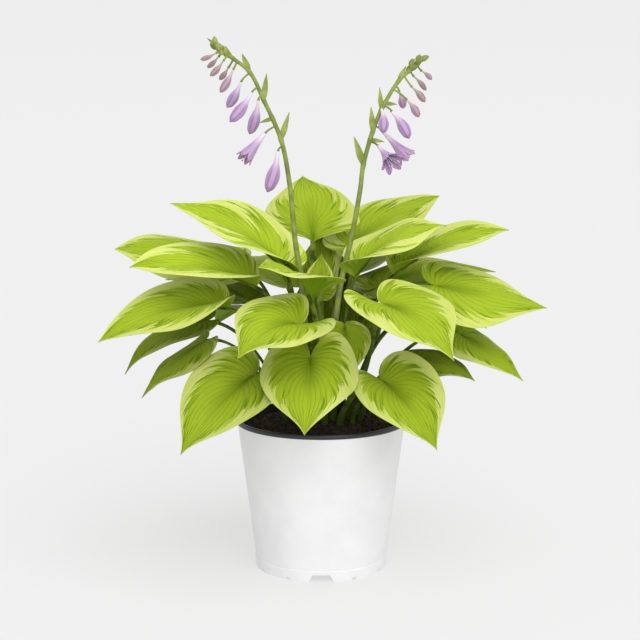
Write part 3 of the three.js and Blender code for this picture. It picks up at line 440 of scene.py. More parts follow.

# %% [markdown]
# ## Where the leaves are
# Each line gives where a leaf's stalk stands in the soil, where its blade starts (the neck) and where
# it ends (the tip), then the blade's width and how far its midrib rises in a bow. The rest is named:
# how the blade is rolled, twisted, folded and arched (in degrees), how its outline is shaped, how far
# the ears beside the neck lift, and how soon the fold opens. They are the same numbers as the plain
# solids were made from. The last two are for the colours alone: splash is how far the pale margin runs
# inwards, and shade is painted shade, how much darker the leaf is painted where it lies below or behind
# the others; below zero it paints the leaf lighter.

# %% The leaf table, in millimetres and degrees
LEAF = dict(roll=0, twist=0, fold=12, tip_fold=4, arch=25, ear=0.7, open=1, lobe=0.16, skew=0, full=0.32,
            point=0.25, wave=0.05, waves=2, phase=0, bend=0.3, knee=None, splash=0, shade=0)
LEAVES = {
    "front_1": ((3, -40), (-10, -65, 218), (-15, -135, 159), 92, 4, dict(fold=8, lobe=0.25, full=0.36,
        point=0.22, phase=0.1)),
    "front_2": ((-17, -31), (-21, -80, 251), (-74, -135, 228), 88, 11, dict(roll=20, fold=24, ear=1.3,
        lobe=0.22, full=0.36, phase=0.6, splash=0.15)),
    "front_3": ((-25, -28), (-62, -54, 199), (-127, -122, 138), 88, 8, dict(roll=20, twist=2, fold=24,
        arch=20, lobe=0.14, full=0.4, phase=0.3, shade=0.05)),
    "front_4": ((18, -38), (56, -60, 195), (104, -125, 143), 84, 8, dict(roll=-18, twist=-2, fold=32,
        arch=20, lobe=0.13, full=0.4, phase=0.8, splash=0.1)),
    "front_5": ((26, -18), (56, -70, 268), (118, -130, 225), 90, 10, dict(roll=-15, fold=28, arch=30,
        ear=1.2, skew=-0.1, full=0.36, phase=0.2, bend=0.12, knee=(60, -12, 230), splash=0.3)),
    "front_6": ((11, -30), (22, -31, 243), (24, -70, 192), 50, 5, dict(fold=10, arch=30, ear=0,
        lobe=0.08, phase=0.5, shade=0.16)),
    "right_1": ((34, -6), (108, -20, 279), (210, -60, 263), 88, 1, dict(roll=-28, tip_fold=-18,
        full=0.4, point=0.18, phase=0.4, splash=0.2)),
    "right_2": ((38, -16), (132, -15, 232), (190, -55, 193), 56, 3, dict(roll=-14, fold=2, tip_fold=0,
        full=0.24, phase=0.9, shade=0.08)),
    "right_3": ((30, -28), (87, -30, 209), (145, -50, 192), 62, 7, dict(roll=-16, fold=4, tip_fold=0,
        phase=0.7, shade=0.42)),
    "right_4": ((17, 0), (32, -15, 286), (119, -25, 337), 92, 14, dict(roll=-11, twist=-10, fold=60,
        tip_fold=0, arch=14, ear=0.5, open=3.5, lobe=-0.02, skew=-0.05, full=0.5, point=0.14, wave=0.06,
        phase=0.15, bend=0.12, splash=0.9)),
    "right_5": ((14, 12), (29, 50, 310), (122, 100, 357), 74, 6, dict(roll=-22, fold=17, arch=20,
        full=0.46, point=0.12, phase=0.55, bend=0.12, splash=0.8)),
    "right_6": ((28, 8), (56, 36, 270), (176, 60, 283), 76, 9, dict(roll=-20, phase=0.35, splash=0.4,
        shade=0.22)),
    "right_7": ((25, -3), (70, 2, 287), (180, -5, 331), 71, 10, dict(roll=-12, twist=-12, fold=50,
        tip_fold=12, arch=16, open=4, lobe=0.0, full=0.5, point=0.07, phase=0.15, bend=0.12,
        splash=0.7)),
    "left_1": ((-28, 14), (-89, 40, 295), (-202, 20, 310), 94, 5, dict(roll=24, fold=4, tip_fold=0,
        full=0.54, point=0.06, phase=0.75, splash=0.5, shade=0.04)),
    "left_2": ((-28, 0), (-62, -20, 278), (-179, -50, 300), 80, 10, dict(roll=11, twist=24, fold=50,
        tip_fold=20, open=3, lobe=0.0, full=0.52, point=0.12, phase=0.25, splash=0.5, shade=-0.04)),
    "left_3": ((-35, -8), (-90, -30, 259), (-207, -70, 232), 84, 13, dict(roll=12, twist=22, fold=50,
        tip_fold=8, open=3, lobe=0.03, full=0.42, point=0.18, phase=0.05, splash=0.25, shade=-0.04)),
    "left_4": ((-37, 6), (-116, 17, 239), (-192, 0, 189), 56, 12, dict(roll=14, fold=6, phase=0.45,
        shade=0.4)),
    "left_5": ((-35, -18), (-113, -30, 226), (-169, -56, 177), 56, 5, dict(roll=6, fold=0, tip_fold=0,
        phase=0.85, shade=0.4)),
    "top_1": ((-2, 14), (-8, 36, 314), (-19, 90, 378), 97, 12, dict(fold=20, arch=20, lobe=-0.06,
        phase=0.65, splash=0.5, shade=-0.04)),
    "top_2": ((-17, 10), (-37, -9, 296), (-144, -10, 357), 82, 9, dict(roll=18, twist=14, fold=36,
        tip_fold=0, arch=12, lobe=0.11, full=0.42, point=0.18, wave=0.07, phase=0.9, bend=0.12,
        splash=1.1, shade=-0.05)),
    "crown_1": ((-7, -14), (-8, -52, 264), (-58, -88, 304), 94, 15, dict(roll=-12, twist=40, fold=58,
        tip_fold=0, ear=0, open=2, lobe=-0.12, phase=0.3, splash=0.8, shade=-0.06)),
    "crown_2": ((1, -13), (-1, -20, 275), (0, -13, 309), 30, 2, dict(fold=32, tip_fold=20, arch=10,
        lobe=-0.04, wave=0, bend=0.2, shade=0.05)),
    "crown_3": ((0, 25), (-2, 47, 266), (2, 80, 328), 42, 4, dict(fold=20, arch=20, phase=0.1,
        shade=0.2)),
    "back_1": ((-30, 25), (-75, 45, 257), (-160, 85, 272), 76, 8, dict(roll=5, fold=15, phase=0.2,
        shade=0.32)),
    "back_2": ((-20, 34), (-55, 70, 242), (-115, 165, 212), 84, 12, dict(fold=15, phase=0.5,
        shade=0.12)),
    "back_3": ((-7, 40), (-8, 75, 214), (-10, 150, 270), 46, 12, dict(fold=15, phase=0.9, shade=0.32)),
    "back_4": ((8, 40), (27, 75, 205), (32, 165, 272), 70, 12, dict(fold=15, phase=0.4, shade=0.32)),
    "back_5": ((21, 35), (60, 75, 258), (120, 160, 232), 84, 12, dict(fold=15, phase=0.7, shade=0.12)),
    "back_6": ((32, 22), (85, 45, 239), (172, 95, 220), 76, 11, dict(fold=15, phase=0.1, shade=0.16)),
    "back_7": ((-12, 24), (-35, 62, 272), (-75, 150, 286), 80, 12, dict(fold=20, arch=20, phase=0.6,
        shade=0.22)),
    "back_8": ((10, 30), (28, 75, 282), (55, 165, 285), 80, 12, dict(fold=20, arch=20, phase=0.3,
        shade=0.22)),
}

# %% [markdown]
# ## One leaf
# The midrib is the straight line from neck to tip, bowed upwards. Veins leave it and end on the
# outline, and the blade is the surface they sweep: it is folded at the midrib, arched down towards the
# margin, and rippled near it. The blade also swells between its veins, which is what makes a hosta look
# quilted.

# %% Sizes shared by all leaves
BLADE_THICKNESS, BLADE_ROWS, HALF_COLUMNS = 0.8, 60, 27
LOBE_SHARE, WIDEST, EAR_START = 0.42, 0.24, 0.15
VEINS_A_SIDE, VEIN_SPREAD, HALVINGS = 7, 0.35, 26
QUILT_DEPTH, QUILT_LEVEL = 0.9, 0.6
RIB_GROOVE_DEPTH, RIB_GROOVE_WIDTH = 0.5, 1.3
# A leaf's brightness is its random tone, from LEAST_LIGHT upwards, less its painted shade.
LEAST_LIGHT, LIGHT_RANGE = 0.87, 0.25


# %% The midrib and its moving frame
class Midrib:
    """Point s: neck + s chord + 4 s (1 - s) rise upwards. Its frame turns about it by roll + twist s."""

    def __init__(self, leaf):
        self.leaf = leaf
        self.neck = np.array(leaf["neck"], float)
        self.chord = np.array(leaf["tip"], float) - self.neck
        self.side = unit(np.array((self.chord[1], -self.chord[0], 0.0)))
        self.up = unit(np.cross(self.side, self.chord))
        self.bow = self.up * 4 * leaf["rise"]

    def point(self, s):
        """The place on the bowed line."""
        s = np.asarray(s, float)[..., None]
        return self.neck + self.chord * s + self.bow * s * (1 - s)

    def frame(self, s):
        """Three unit arrows: along the line, to its right, and up."""
        s = np.asarray(s, float)[..., None]
        along = unit(self.chord + self.bow * (1 - 2 * s))
        right = unit(self.side - along * (along * self.side).sum(-1, keepdims=True))
        right = turn_about(right, along, -np.radians(self.leaf["roll"] + self.leaf["twist"] * s))
        return along, right, np.cross(right, along)


# %% The outline, the veins and the blade's sheet
def outline(leaf, t):
    """Two cubic Bezier curves, round the lobe and then over the shoulder to the tip, for t from 0 to 1."""
    lobe, full, point = leaf["lobe"], leaf["full"], leaf["point"]
    round_lobe = [(0, 0), (-1.75 * lobe, 0.1), (-1.2 * lobe, 1), (WIDEST, 1)]
    to_tip = [(WIDEST, 1), (WIDEST + full, 1), (1 - point, 0.2), (1, 0)]
    first, _ = bezier(round_lobe, np.clip(t / LOBE_SHARE, 0, 1))
    second, _ = bezier(to_tip, np.clip((t - LOBE_SHARE) / (1 - LOBE_SHARE), 0, 1))
    return np.where((t < LOBE_SHARE)[..., None], first, second)


def vein_number(t, out):
    """Which vein runs through a point. Vein u leaves the midrib at VEIN_SPREAD u and bends to the tip
    along out = (1 - u)(1 - (1 - s)^2), where s is the share of its way. Halving an interval finds u."""
    low, high = np.full(t.shape, -1.5), np.ones(t.shape)
    for _ in range(HALVINGS):
        u = (low + high) / 2
        s = np.clip((t - VEIN_SPREAD * u) / (1 - VEIN_SPREAD * u), 0, 1)
        above = (1 - u) * (1 - (1 - s) ** 2) > out
        low, high = np.where(above, u, low), np.where(above, high, u)
    return VEINS_A_SIDE * low


def blade_sheet(leaf, rib, t, v):
    """The upper side before its veins: the midrib's frame at x, plus the arc of the folded half."""
    side, out = np.sign(v), np.abs(v)
    edge = outline(leaf, t)
    across = edge[..., 1] * out
    straight = mix(t ** 1.05, edge[..., 0], out ** 1.4)
    x = straight + leaf["skew"] * side * across * (1 - np.maximum(straight, 0))
    s = np.clip(x, 0, 1)
    fold = np.radians(mix(leaf["tip_fold"], leaf["fold"], (1 - s) ** leaf["open"]))
    arch = np.radians(leaf["arch"])
    reach = (np.sin(fold) - np.sin(fold - arch * across)) / arch
    lift = (np.cos(fold - arch * across) - np.cos(fold)) / arch
    swing = 2 * np.pi * (leaf["waves"] * t + leaf["phase"]) + 1.2 * side
    ripple = leaf["wave"] * out ** 2 * np.sin(np.pi * t) * np.sin(swing)
    length = np.linalg.norm(rib.chord)
    ear = leaf["ear"] * np.maximum(EAR_START - x, 0) ** 2 * length * (1 - (1 - across) ** 3)
    _, right, up = rib.frame(s)
    half = leaf["width"] / 2
    start = rib.frame(np.zeros(1))[0][0]
    return (rib.point(s) + start * (np.minimum(x, 0) * length)[..., None]
            + right * (side * half * reach)[..., None] + up * (half * (lift + ripple) + ear)[..., None])


def blade_skin(name, leaf, rib):
    """The sheet with its quilting, and its copy one thickness below, joined into loops round the blade."""
    t = np.linspace(0, 1, BLADE_ROWS + 1)[:, None]
    w = np.linspace(-1, 1, 2 * HALF_COLUMNS + 1)[None, :]
    t, v = np.broadcast_arrays(t, np.sign(w) * np.abs(w) ** 1.1)
    sheet = blade_sheet(leaf, rib, t, v)
    normal = unit(np.cross(np.gradient(sheet, axis=1), np.gradient(sheet, axis=0)))
    normal[0], normal[-1] = unit(normal[1].mean(0)), unit(normal[-2].mean(0))
    out = np.abs(v)
    vein = vein_number(np.clip(t, 0.002, 0.998), np.clip(out, 0.002, 0.998))
    swell = np.abs(np.sin(np.pi * vein)) ** 0.7 - QUILT_LEVEL
    calm = smooth(0, 0.12, out) * smooth(0, 0.14, 1 - out) * smooth(0, 0.1, t) * smooth(0, 0.15, 1 - t)
    groove = np.exp(-(out * leaf["width"] / 2 / RIB_GROOVE_WIDTH) ** 2)
    groove = groove * smooth(0, 0.08, t) * smooth(0, 0.2, 1 - t)
    sheet = sheet + normal * (QUILT_DEPTH * swell * calm - RIB_GROOVE_DEPTH * groove)[..., None]
    thick = BLADE_THICKNESS * mix(0.45, 0.9, smooth(0, 0.25, 1 - out))
    thick[0], thick[-1] = BLADE_THICKNESS * 0.6, BLADE_THICKNESS * 0.6
    back = sheet - normal * thick[..., None]
    loops = np.concatenate([sheet, back[:, ::-1]], axis=1)
    both = [np.concatenate([upper, upper[:, ::-1]], axis=1) for upper in (t, v, vein)]
    under = np.concatenate([np.zeros(t.shape), np.ones(t.shape)], axis=1)
    tone = noise(sum(map(ord, name)), np.array(0.5))
    # Painted shade: the leaf's brightness is its random tone less the shade from the leaf table.
    light = LEAST_LIGHT + LIGHT_RANGE * tone - leaf["shade"]
    return grid_skin(loops, along=both[0], across=both[1], vein=both[2], under=under, tone=tone,
                     splash=leaf["splash"], light=light)


# %% [markdown]
# ## The leaf's stalk
# A hosta's leaf stalk is round below and has a deep channel above, like a gutter that leads rain to the
# crown. It stands straight in the soil, curves out to the neck, and runs on under the blade as a
# tapering rib. Its cross-section is carried along that path, loop by loop. Where it stands depends on
# the heap of potting mix, so the pot's sizes and the heap's height come first.

# %% The pot's sizes and the heap's height, in millimetres
POT_HEIGHT, RIM_RADIUS, BASE_RADIUS = 147.0, 83.0, 64.5
LIP_HEIGHT, LIP_WIDTH, LIP_OVERHANG, WALL = 4.4, 2.8, 1.2, 1.6
BAND_HEIGHT, FOOT_HEIGHT, FOOT_WIDTH = 10.3, 6.5, 2.4
FLOOR_THICKNESS, PAD_RADIUS = 2.0, 40.0
SOIL_EDGE, SOIL_MOUND, FIT_GAP = 138.0, 16.0, 0.3


def outer_radius(height):
    """The pot's outside: a straight taper from the base band to the lip."""
    share = (height - BAND_HEIGHT) / (POT_HEIGHT - LIP_HEIGHT - BAND_HEIGHT)
    return mix(BASE_RADIUS, RIM_RADIUS - LIP_OVERHANG, share)


SOIL_RADIUS = outer_radius(SOIL_EDGE) - WALL - FIT_GAP


def soil_height(x, y):
    """The heap: edge height plus mound times cos(share of the radius)^1.3."""
    share = np.minimum(np.hypot(x, y) / SOIL_RADIUS, 1)
    return SOIL_EDGE + SOIL_MOUND * np.cos(share * np.pi / 2) ** 1.3


# %% Carry the channelled section along its path
STALK_FOOT, STALK_NECK = (3.8, 2.8), (2.9, 2.0)
STALK_LEAN, STALK_SINK = np.array((0.1, 0.1, 0.5)), 0.5
ROOT_DEPTH, FOOT_ABOVE = 10.0, 2.0
PATH_LOOPS, RIB_LOOPS, STALK_SIDES = 27, 24, 18


def gutter_section():
    """a = cos angle, and b = 0.35 - 1.2 |sin|^0.75 below, 0.35 - 0.45 |sin|^1.5 above, in half widths."""
    angle = round_angles(STALK_SIDES)
    sine = np.sin(angle)
    below = 0.35 - 1.2 * np.abs(sine) ** 0.75
    above = 0.35 - 0.45 * np.abs(sine) ** 1.5
    return np.cos(angle), np.where(sine < 0, below, above)


def stalk_skin(leaf, rib):
    """Loops of the gutter section: at the root, along the curve to the neck, then under the blade."""
    x, y = leaf["foot"]
    ground = soil_height(x, y)
    foot = np.array((x, y, ground + FOOT_ABOVE))
    start_along, start_right, start_up = (a[0] for a in rib.frame(np.zeros(1)))
    neck = rib.neck - start_up * STALK_SINK
    span = neck - foot
    knee = np.array(leaf["knee"], float) if leaf["knee"] else foot + span * STALK_LEAN
    u = np.linspace(0, 1, PATH_LOOPS)
    path, way = bezier([foot, knee, neck - start_along * leaf["bend"] * np.linalg.norm(span), neck], u)
    way[0] = (0, 0, 1)
    level = rib.side
    right = mix(level, start_right, u[:, None])
    right = unit(right - way * (right * way).sum(-1, keepdims=True))
    s = np.linspace(0.03, 0.96, RIB_LOOPS)
    _, rib_right, rib_up = rib.frame(s)
    size = np.interp(s, (0, 0.13, 0.27, 1), (0.95, 0.75, 0.45, 0.1))
    sink = mix(STALK_SINK, 0.35 * STALK_NECK[1] * size + 0.85, smooth(0, 0.12, s))
    root = np.array((x, y, ground - ROOT_DEPTH))
    centres = np.concatenate([root[None], path, rib.point(s) - rib_up * sink[:, None]])
    rights = np.concatenate([level[None], right, rib_right])
    ups = np.concatenate([np.cross(level, (0, 0, 1.0))[None], np.cross(right, way), rib_up])
    wide, deep = (np.concatenate([[foot_size], mix(foot_size, neck_size, u), neck_size * size])
                  for foot_size, neck_size in zip(STALK_FOOT, STALK_NECK))
    a, b = gutter_section()
    loops = closed_ends(loops_about(centres, rights, ups, a * wide[:, None], b * deep[:, None]))
    along = np.interp(np.arange(len(loops)), (0, PATH_LOOPS + 1, len(loops)), (0, 1, 1.4))[:, None]
    return grid_skin(loops, finish=1, along=along)


# %% Make all the leaves
def add_leaf(name, foot, neck, tip, width, rise, rest):
    """Blade and stalk as one piece."""
    leaf = {**LEAF, **rest, "foot": foot, "neck": neck, "tip": tip, "width": width, "rise": rise}
    rib = Midrib(leaf)
    skins = [blade_skin(name, leaf, rib), stalk_skin(leaf, rib)]
    return add_piece(name + "_fine", skins, [LEAF_FINISH, STALK_FINISH], node=name)


leaf_pieces = [add_leaf("leaf_" + name, *line) for name, line in LEAVES.items()]
print("leaves:", len(leaf_pieces), "faces in all:", sum(len(p.data.polygons) for p in leaf_pieces))

# %% [markdown]
# ## The flower scapes
# Two leafless stems rise from the crown, one to each side. Small pointed bracts clasp them, a thin
# stalk in each bract's corner carries a nodding flower or bud, and the youngest buds crowd the tip,
# still green. The stem is a tube along a smooth curve through chosen points, and it swells a little at
# each bract.

# %% The scape tables, in millimetres
SCAPE_RADIUS = (3.3, 1.7)
PEDICEL_RADIUS, PEDICEL_DROP = 0.9, 5.0
SWELLING, SWELLING_REACH = 0.5, 2.6
PATH_POINTS, STEM_LOOPS = 700, 150
SCAPES = {
    "scape_left": dict(
        route=[(-9, -3), (-15, -5, 230), (-20, -6, 287), (-25, -8, 321), (-30, -10, 374),
               (-38, -14, 417), (-54, -18, 454), (-67, -20, 480), (-83, -22, 493), (-97, -24, 503)],
        bracts=[
            ((-38, -14, 417), (-30, -16, 443), 6),
            ((-46, -16, 437), (-58, -26, 433), 4),
            ((-54, -18, 454), (-51, -20, 479), 6),
            ((-67, -20, 480), (-74, -20, 497), 6),
            ((-83, -22, 493), (-96, -20, 507), 5),
            ((-94, -24, 501), (-106, -28, 511), 4),
        ],
        blooms=[
            ((-41, -16, 406), (-51, -22, 368), 6.5, "bud"),
            ((-53, -20, 423), (-73, -34, 399), 8.5, "bell"),
            ((-59, -20, 454), (-68, -8, 422), 5.5, "bud"),
            ((-65, -24, 461), (-85, -34, 434), 5.5, "bud"),
            ((-75, -20, 471), (-89, -12, 447), 4.8, "bud"),
            ((-82, -26, 482), (-94, -32, 461), 3.8, "bud"),
            ((-87, -18, 484), (-96, -11, 473), 2.8, "bud"),
            ((-91, -27, 490), (-103, -32, 476), 3.0, "bud"),
            ((-96, -20, 494), (-107, -15, 484), 2.5, "bud"),
            ((-98, -27, 497), (-112, -31, 491), 2.4, "bud"),
        ],
    ),
    "scape_right": dict(
        route=[(9, -4), (12, -9, 220), (16, -13, 262), (22, -14, 296), (28, -11, 320), (37, -8, 369),
               (40, -8, 393), (51, -6, 431), (59, -4, 449), (74, -4, 473), (84, -4, 482), (93, -4, 490)],
        bracts=[
            ((40, -8, 393), (31, -11, 420), 7),
            ((47, -7, 417), (60, -14, 415), 4),
            ((49, -6, 424), (47, -9, 448), 6),
            ((57, -4, 445), (55, -8, 466), 5),
            ((60, -4, 451), (72, -10, 450), 4),
            ((73, -4, 472), (80, -6, 486), 5),
            ((84, -4, 482), (88, -8, 493), 4),
        ],
        blooms=[
            ((54, -11, 411), (67, -34, 395), 12.5, "flower"),
            ((58, -2, 425), (83, 3, 399), 10.5, "flower"),
            ((57, -9, 446), (58, -17, 423), 5.0, "bud"),
            ((67, -7, 443), (83, -14, 418), 5.5, "bud"),
            ((74, 0, 462), (78, 7, 446), 4.0, "bud"),
            ((81, -9, 454), (92, -15, 438), 3.8, "bud"),
            ((86, -5, 466), (98, -8, 452), 3.4, "bud"),
            ((88, 0, 476), (100, 5, 463), 2.6, "bud"),
            ((95, -6, 481), (104, -10, 473), 2.5, "bud"),
        ],
    ),
}
TOP_BUDS = dict(count=7, length=10.0, radius=2.8, climb=2.6, turn=2.4)


# %% A smooth curve, and a tube along it
def through(points, count):
    """A centripetal Catmull-Rom curve: cubic pieces whose end slopes weigh each gap by its square root."""
    p = np.asarray(points, float)
    p = np.concatenate([[2 * p[0] - p[1]], p, [2 * p[-1] - p[-2]]])
    u = np.linspace(0, len(p) - 3, count)
    i = np.minimum(u.astype(int), len(p) - 4)
    w = (u - i)[:, None]
    a, b, c, d = p[i], p[i + 1], p[i + 2], p[i + 3]
    before, here, after = (np.sqrt(np.linalg.norm(n - m, axis=1, keepdims=True))
                           for m, n in ((a, b), (b, c), (c, d)))
    start = ((b - a) / before - (c - a) / (before + here) + (c - b) / here) * here
    stop = ((c - b) / here - (d - b) / (here + after) + (d - c) / after) * here
    cubic = (2 * b - 2 * c + start + stop) * w ** 3 + (3 * c - 3 * b - 2 * start - stop) * w ** 2
    return cubic + start * w + b


def tube_loops(path, radius, sides=14, reference=(0.0, 1.0, 0.0)):
    """Circles across the path, each turned so that its first point faces the reference."""
    way = unit(np.gradient(path, axis=0))
    reference = np.asarray(reference, float)
    right = unit(reference - way * (way @ reference)[:, None])
    up = np.cross(way, right)
    angle = round_angles(sides)
    radius = np.asarray(radius, float)
    radius = np.broadcast_to(radius[:, None] if radius.ndim == 1 else radius, (len(path), sides))
    return loops_about(path, right, up, radius * np.cos(angle), radius * np.sin(angle))


# %% The stem, its bracts and the stalks of its flowers
def stem_path(route):
    """The smooth curve from below the ground, straight up out of it, and on through the route."""
    x, y = route[0]
    ground = soil_height(x, y)
    return through([(x, y, ground - ROOT_DEPTH), (x, y, ground + 3.0), *route[1:]], PATH_POINTS)


def stem_skin(path, bracts):
    """Radius from foot to tip by the share of the length, plus a bell-shaped swelling at each bract."""
    way = np.concatenate([[0], np.cumsum(np.linalg.norm(np.diff(path, axis=0), axis=1))])
    share = np.linspace(0, 1, STEM_LOOPS)
    centres = np.stack([np.interp(share * way[-1], way, path[:, k]) for k in range(3)], -1)
    radius = mix(SCAPE_RADIUS[0], SCAPE_RADIUS[1], share)
    for start, _, _ in bracts:
        near = np.linalg.norm(centres - np.array(start), axis=1)
        radius = radius + SWELLING * np.exp(-(near / SWELLING_REACH) ** 2)
    loops = closed_ends(tube_loops(centres, radius))
    return grid_skin(loops, along=np.linspace(0, 1, len(loops))[:, None])


def bract_skin(start, end, width):
    """A lance-shaped blade: its half width rises and falls along it, and its section is a shallow boat."""
    start, end = np.array(start, float), np.array(end, float)
    along = unit(end - start)
    right = unit(np.array((along[2], 0.0, -along[0])))
    up = np.cross(right, along)
    s = np.linspace(0, 1, 20)
    places, widths = (0, 0.18, 0.35, 0.5, 0.7, 0.88, 1), (0.5, 0.85, 1, 0.9, 0.62, 0.3, 0.05)
    half = width / 2 * np.interp(s, places, widths)
    angle = round_angles(16)
    a, sine = np.cos(angle), np.sin(angle)
    b = 0.3 * a ** 2 + np.where(sine > 0, 0.05, 0.45) * sine
    centres = start + (end - start) * s[:, None] + up * (0.6 * np.sin(np.pi * s))[:, None]
    wide, deep = half[:, None], np.maximum(half, 0.7)[:, None]
    loops = closed_ends(loops_about(centres, right, up, wide * a, deep * b))
    return grid_skin(loops, finish=1, along=np.linspace(0, 1, len(loops))[:, None])


def pedicel_skin(base, tip, path):
    """A thin stalk from the nearest point of the stem, bowed to meet the flower in its own line."""
    base, tip = np.array(base, float), np.array(tip, float)
    towards = unit(tip - base)
    end = base - towards * FIT_GAP
    near = path[np.argmin(np.linalg.norm(path - (base + (0, 0, 2.0)), axis=1))]
    u = np.linspace(0, 1, 14)
    curve, _ = bezier([near, end - towards * PEDICEL_DROP, end], u)
    size = PEDICEL_RADIUS * (1 + 0.5 * smooth(0.75, 1.0, u))
    return grid_skin(closed_ends(tube_loops(curve, size, 10)), along=0.8)


# %% Buds and flowers
BUD_PROFILE = [(0, 0.22), (0.22, 0.36), (0.42, 0.76), (0.62, 1), (0.84, 0.8), (1, 0.08)]
TOP_BUD_PROFILE = [(0, 0.5), (0.5, 1), (0.85, 0.6), (1, 0.1)]
YOUNG_RADIUS, RIPE_RADIUS = 3.2, 4.6
FLARE = {"bell": 1.1, "flower": 1.9}
TUBE_RADIUS, PETAL_SPLIT, NOTCH_SHARE = 1.6, 0.66, 0.15


def bud_skin(base, tip, radius, profile, finish=0, rows=44, sides=48):
    """The profile carried along the line from base to tip; six shallow seams divide the folded petals."""
    base, tip = np.array(base, float), np.array(tip, float)
    share, size = through(profile, rows).T
    stripe = np.abs(np.cos(3 * round_angles(sides)))[None, :]
    seam = 1 - 0.09 * smooth(0.3, 0.6, share)[:, None] * (1 - stripe) ** 2
    path = base + (tip - base) * share[:, None]
    lean = unit(np.cross(tip - base, (0.0, 1.0, 0.0)))
    path = path + lean * (0.25 * radius * np.sin(np.pi * share))[:, None]
    loops = tube_loops(path, radius * size[:, None] * seam, sides, (1.0, 0.05, 0.0))
    along = np.concatenate([[share[0]], share, [share[-1]]])[:, None]
    young = smooth(RIPE_RADIUS, YOUNG_RADIUS, radius)
    return grid_skin(closed_ends(loops), finish=finish, along=along, stripe=stripe, inside=0.0,
                     young=young, bud=1.0)


def facing(direction):
    """The turn that carries +Z onto a direction the short way round, as a 3 by 3 table."""
    direction = unit(np.asarray(direction, float))
    axis = np.cross((0, 0, 1.0), direction)
    sine = np.linalg.norm(axis)
    axis = axis / max(sine, 1e-9)
    return turn_about(np.eye(3), axis[None], np.arctan2(sine, direction[2]))


def stamen_loops(length, turn):
    """A filament that bows out towards the flower's mouth, and the anther that lies across its end."""
    across = np.array((np.cos(turn), np.sin(turn), 0))
    bow = [(0, 0, up * length) + across * out for up, out in ((0.2, 2), (0.6, 1), (0.98, 4.5))]
    filament, _ = bezier(bow, np.linspace(0, 1, 16))
    anther = filament[-1] + np.linspace(-1, 1, 9)[:, None] * np.array((across[1], -across[0], 0.0)) * 1.1
    round_end = 0.62 * np.sqrt(np.clip(1 - np.linspace(-0.98, 0.98, 9) ** 2, 0, 1))
    return tube_loops(filament, 0.32, 8), tube_loops(anther, round_end, 8, (0, 0, 1.0))


def flower_skins(base, tip, radius, flare):
    """Round the axis: radius 1.6 + (R - 1.6) reach^flare and height L (1 - (1 - reach)^1.15), where reach
    stops short between the petals, so that the rim is cut into six points."""
    base, tip = np.array(base, float), np.array(tip, float)
    length = np.linalg.norm(tip - base)
    angle = round_angles(108)[:, None]
    petal = np.abs(np.cos(3 * angle))
    u = np.linspace(0, 1, 30)[None, :]
    cut = mix(NOTCH_SHARE, 1, (np.arcsin(petal) * 2 / np.pi) ** 0.45)
    reach = np.where(u < PETAL_SPLIT, u, PETAL_SPLIT + (u - PETAL_SPLIT) * cut)
    spread = TUBE_RADIUS + (radius - TUBE_RADIUS) * reach ** flare * mix(0.9, 1, petal)
    spread = spread * smooth(-0.06, 0.06, u) ** 0.5
    height = length * (1 - (1 - reach) ** 1.15) - 0.09 * radius * (1 - petal) ** 2 * smooth(0.5, 1, u)
    slope = unit(np.stack([np.gradient(height, axis=1), -np.gradient(spread, axis=1)], -1))
    thick = 0.55 * smooth(0, 0.15, u) + 0.1
    inner_spread = np.maximum(spread - slope[..., 0] * thick, 0.2)
    inner_height = height - slope[..., 1] * thick
    axis = np.zeros((len(angle), 1))
    spread = np.concatenate([axis, spread, inner_spread[:, :1:-1], axis], 1)
    height = np.concatenate([axis, height, inner_height[:, :1:-1], axis + inner_height[0, 2]], 1)
    grid = np.stack([spread * np.cos(angle), spread * np.sin(angle), height], -1)
    along = np.concatenate([u[:, :1], u, u[:, :1:-1], u[:, 2:3]], 1)
    inside = np.concatenate([np.zeros(31), np.ones(29)])[None, :]
    turned = facing(tip - base)
    skins = [grid_skin(grid @ turned + base, wrap_rows=True, wrap_columns=False, along=along, stripe=petal,
                       inside=inside)]
    for k in range(6):
        for finish, loops in enumerate(stamen_loops(length, (k + 0.5) * np.pi / 3), 1):
            skins.append(grid_skin(closed_ends(loops) @ turned + base, finish=finish))
    return skins


# %% Their finishes
PETAL = (0.505, 0.345, 0.550)
PETAL_PALE = (0.780, 0.690, 0.800)
PETAL_STRIPE = (0.270, 0.125, 0.345)
BUD_YOUNG, BUD_BASE, BUD_VEIN = (0.400, 0.280, 0.250), (0.330, 0.330, 0.140), (0.150, 0.080, 0.075)


def petal_finish():
    """Lavender, paler towards the base, with fine purple lines and a darker band along each petal. A
    closed bud is banded more than an open flower, and a young one is brownish pink above green."""
    material, tree, shader = new_finish("petal", Roughness=0.5, Sheen_Weight=0.12)
    along, stripe, inside, bud, young = attributes(tree, "along", "stripe", "inside", "bud", "young")
    patches, cells = mottle(tree, 0.004, 0.0006)
    colour = blend(along.step(0.0, 0.5), PETAL_PALE, PETAL)
    lines = ((patches * 0.15 + stripe) * 14.0).maths("SINE").step(0.35, 0.95)
    lines = lines * (inside * 0.3 + 0.45) * along.step(0.25, 0.6)
    band = stripe.step(0.55, 0.97) * along.step(0.3, 0.62)
    folded = bud * 0.42 + 0.1
    throat = inside * along.step(0.35, 0.8, 1.0, 0.0) * 0.6
    for share in (lines, band * folded, along.step(0.8, 1.0) * folded, throat):
        colour = blend(share, colour, PETAL_STRIPE)
    fresh = blend(along.step(0.05, 0.45), BUD_BASE, BUD_YOUNG)
    fresh = blend(lines.maths("MAXIMUM", band) * 0.5, fresh, BUD_VEIN)
    wire(tree, shader, Base_Color=blend(young * 0.9, colour, fresh))
    raise_surface(tree, shader, lines + cells, 0.0002, 0.5)
    return material


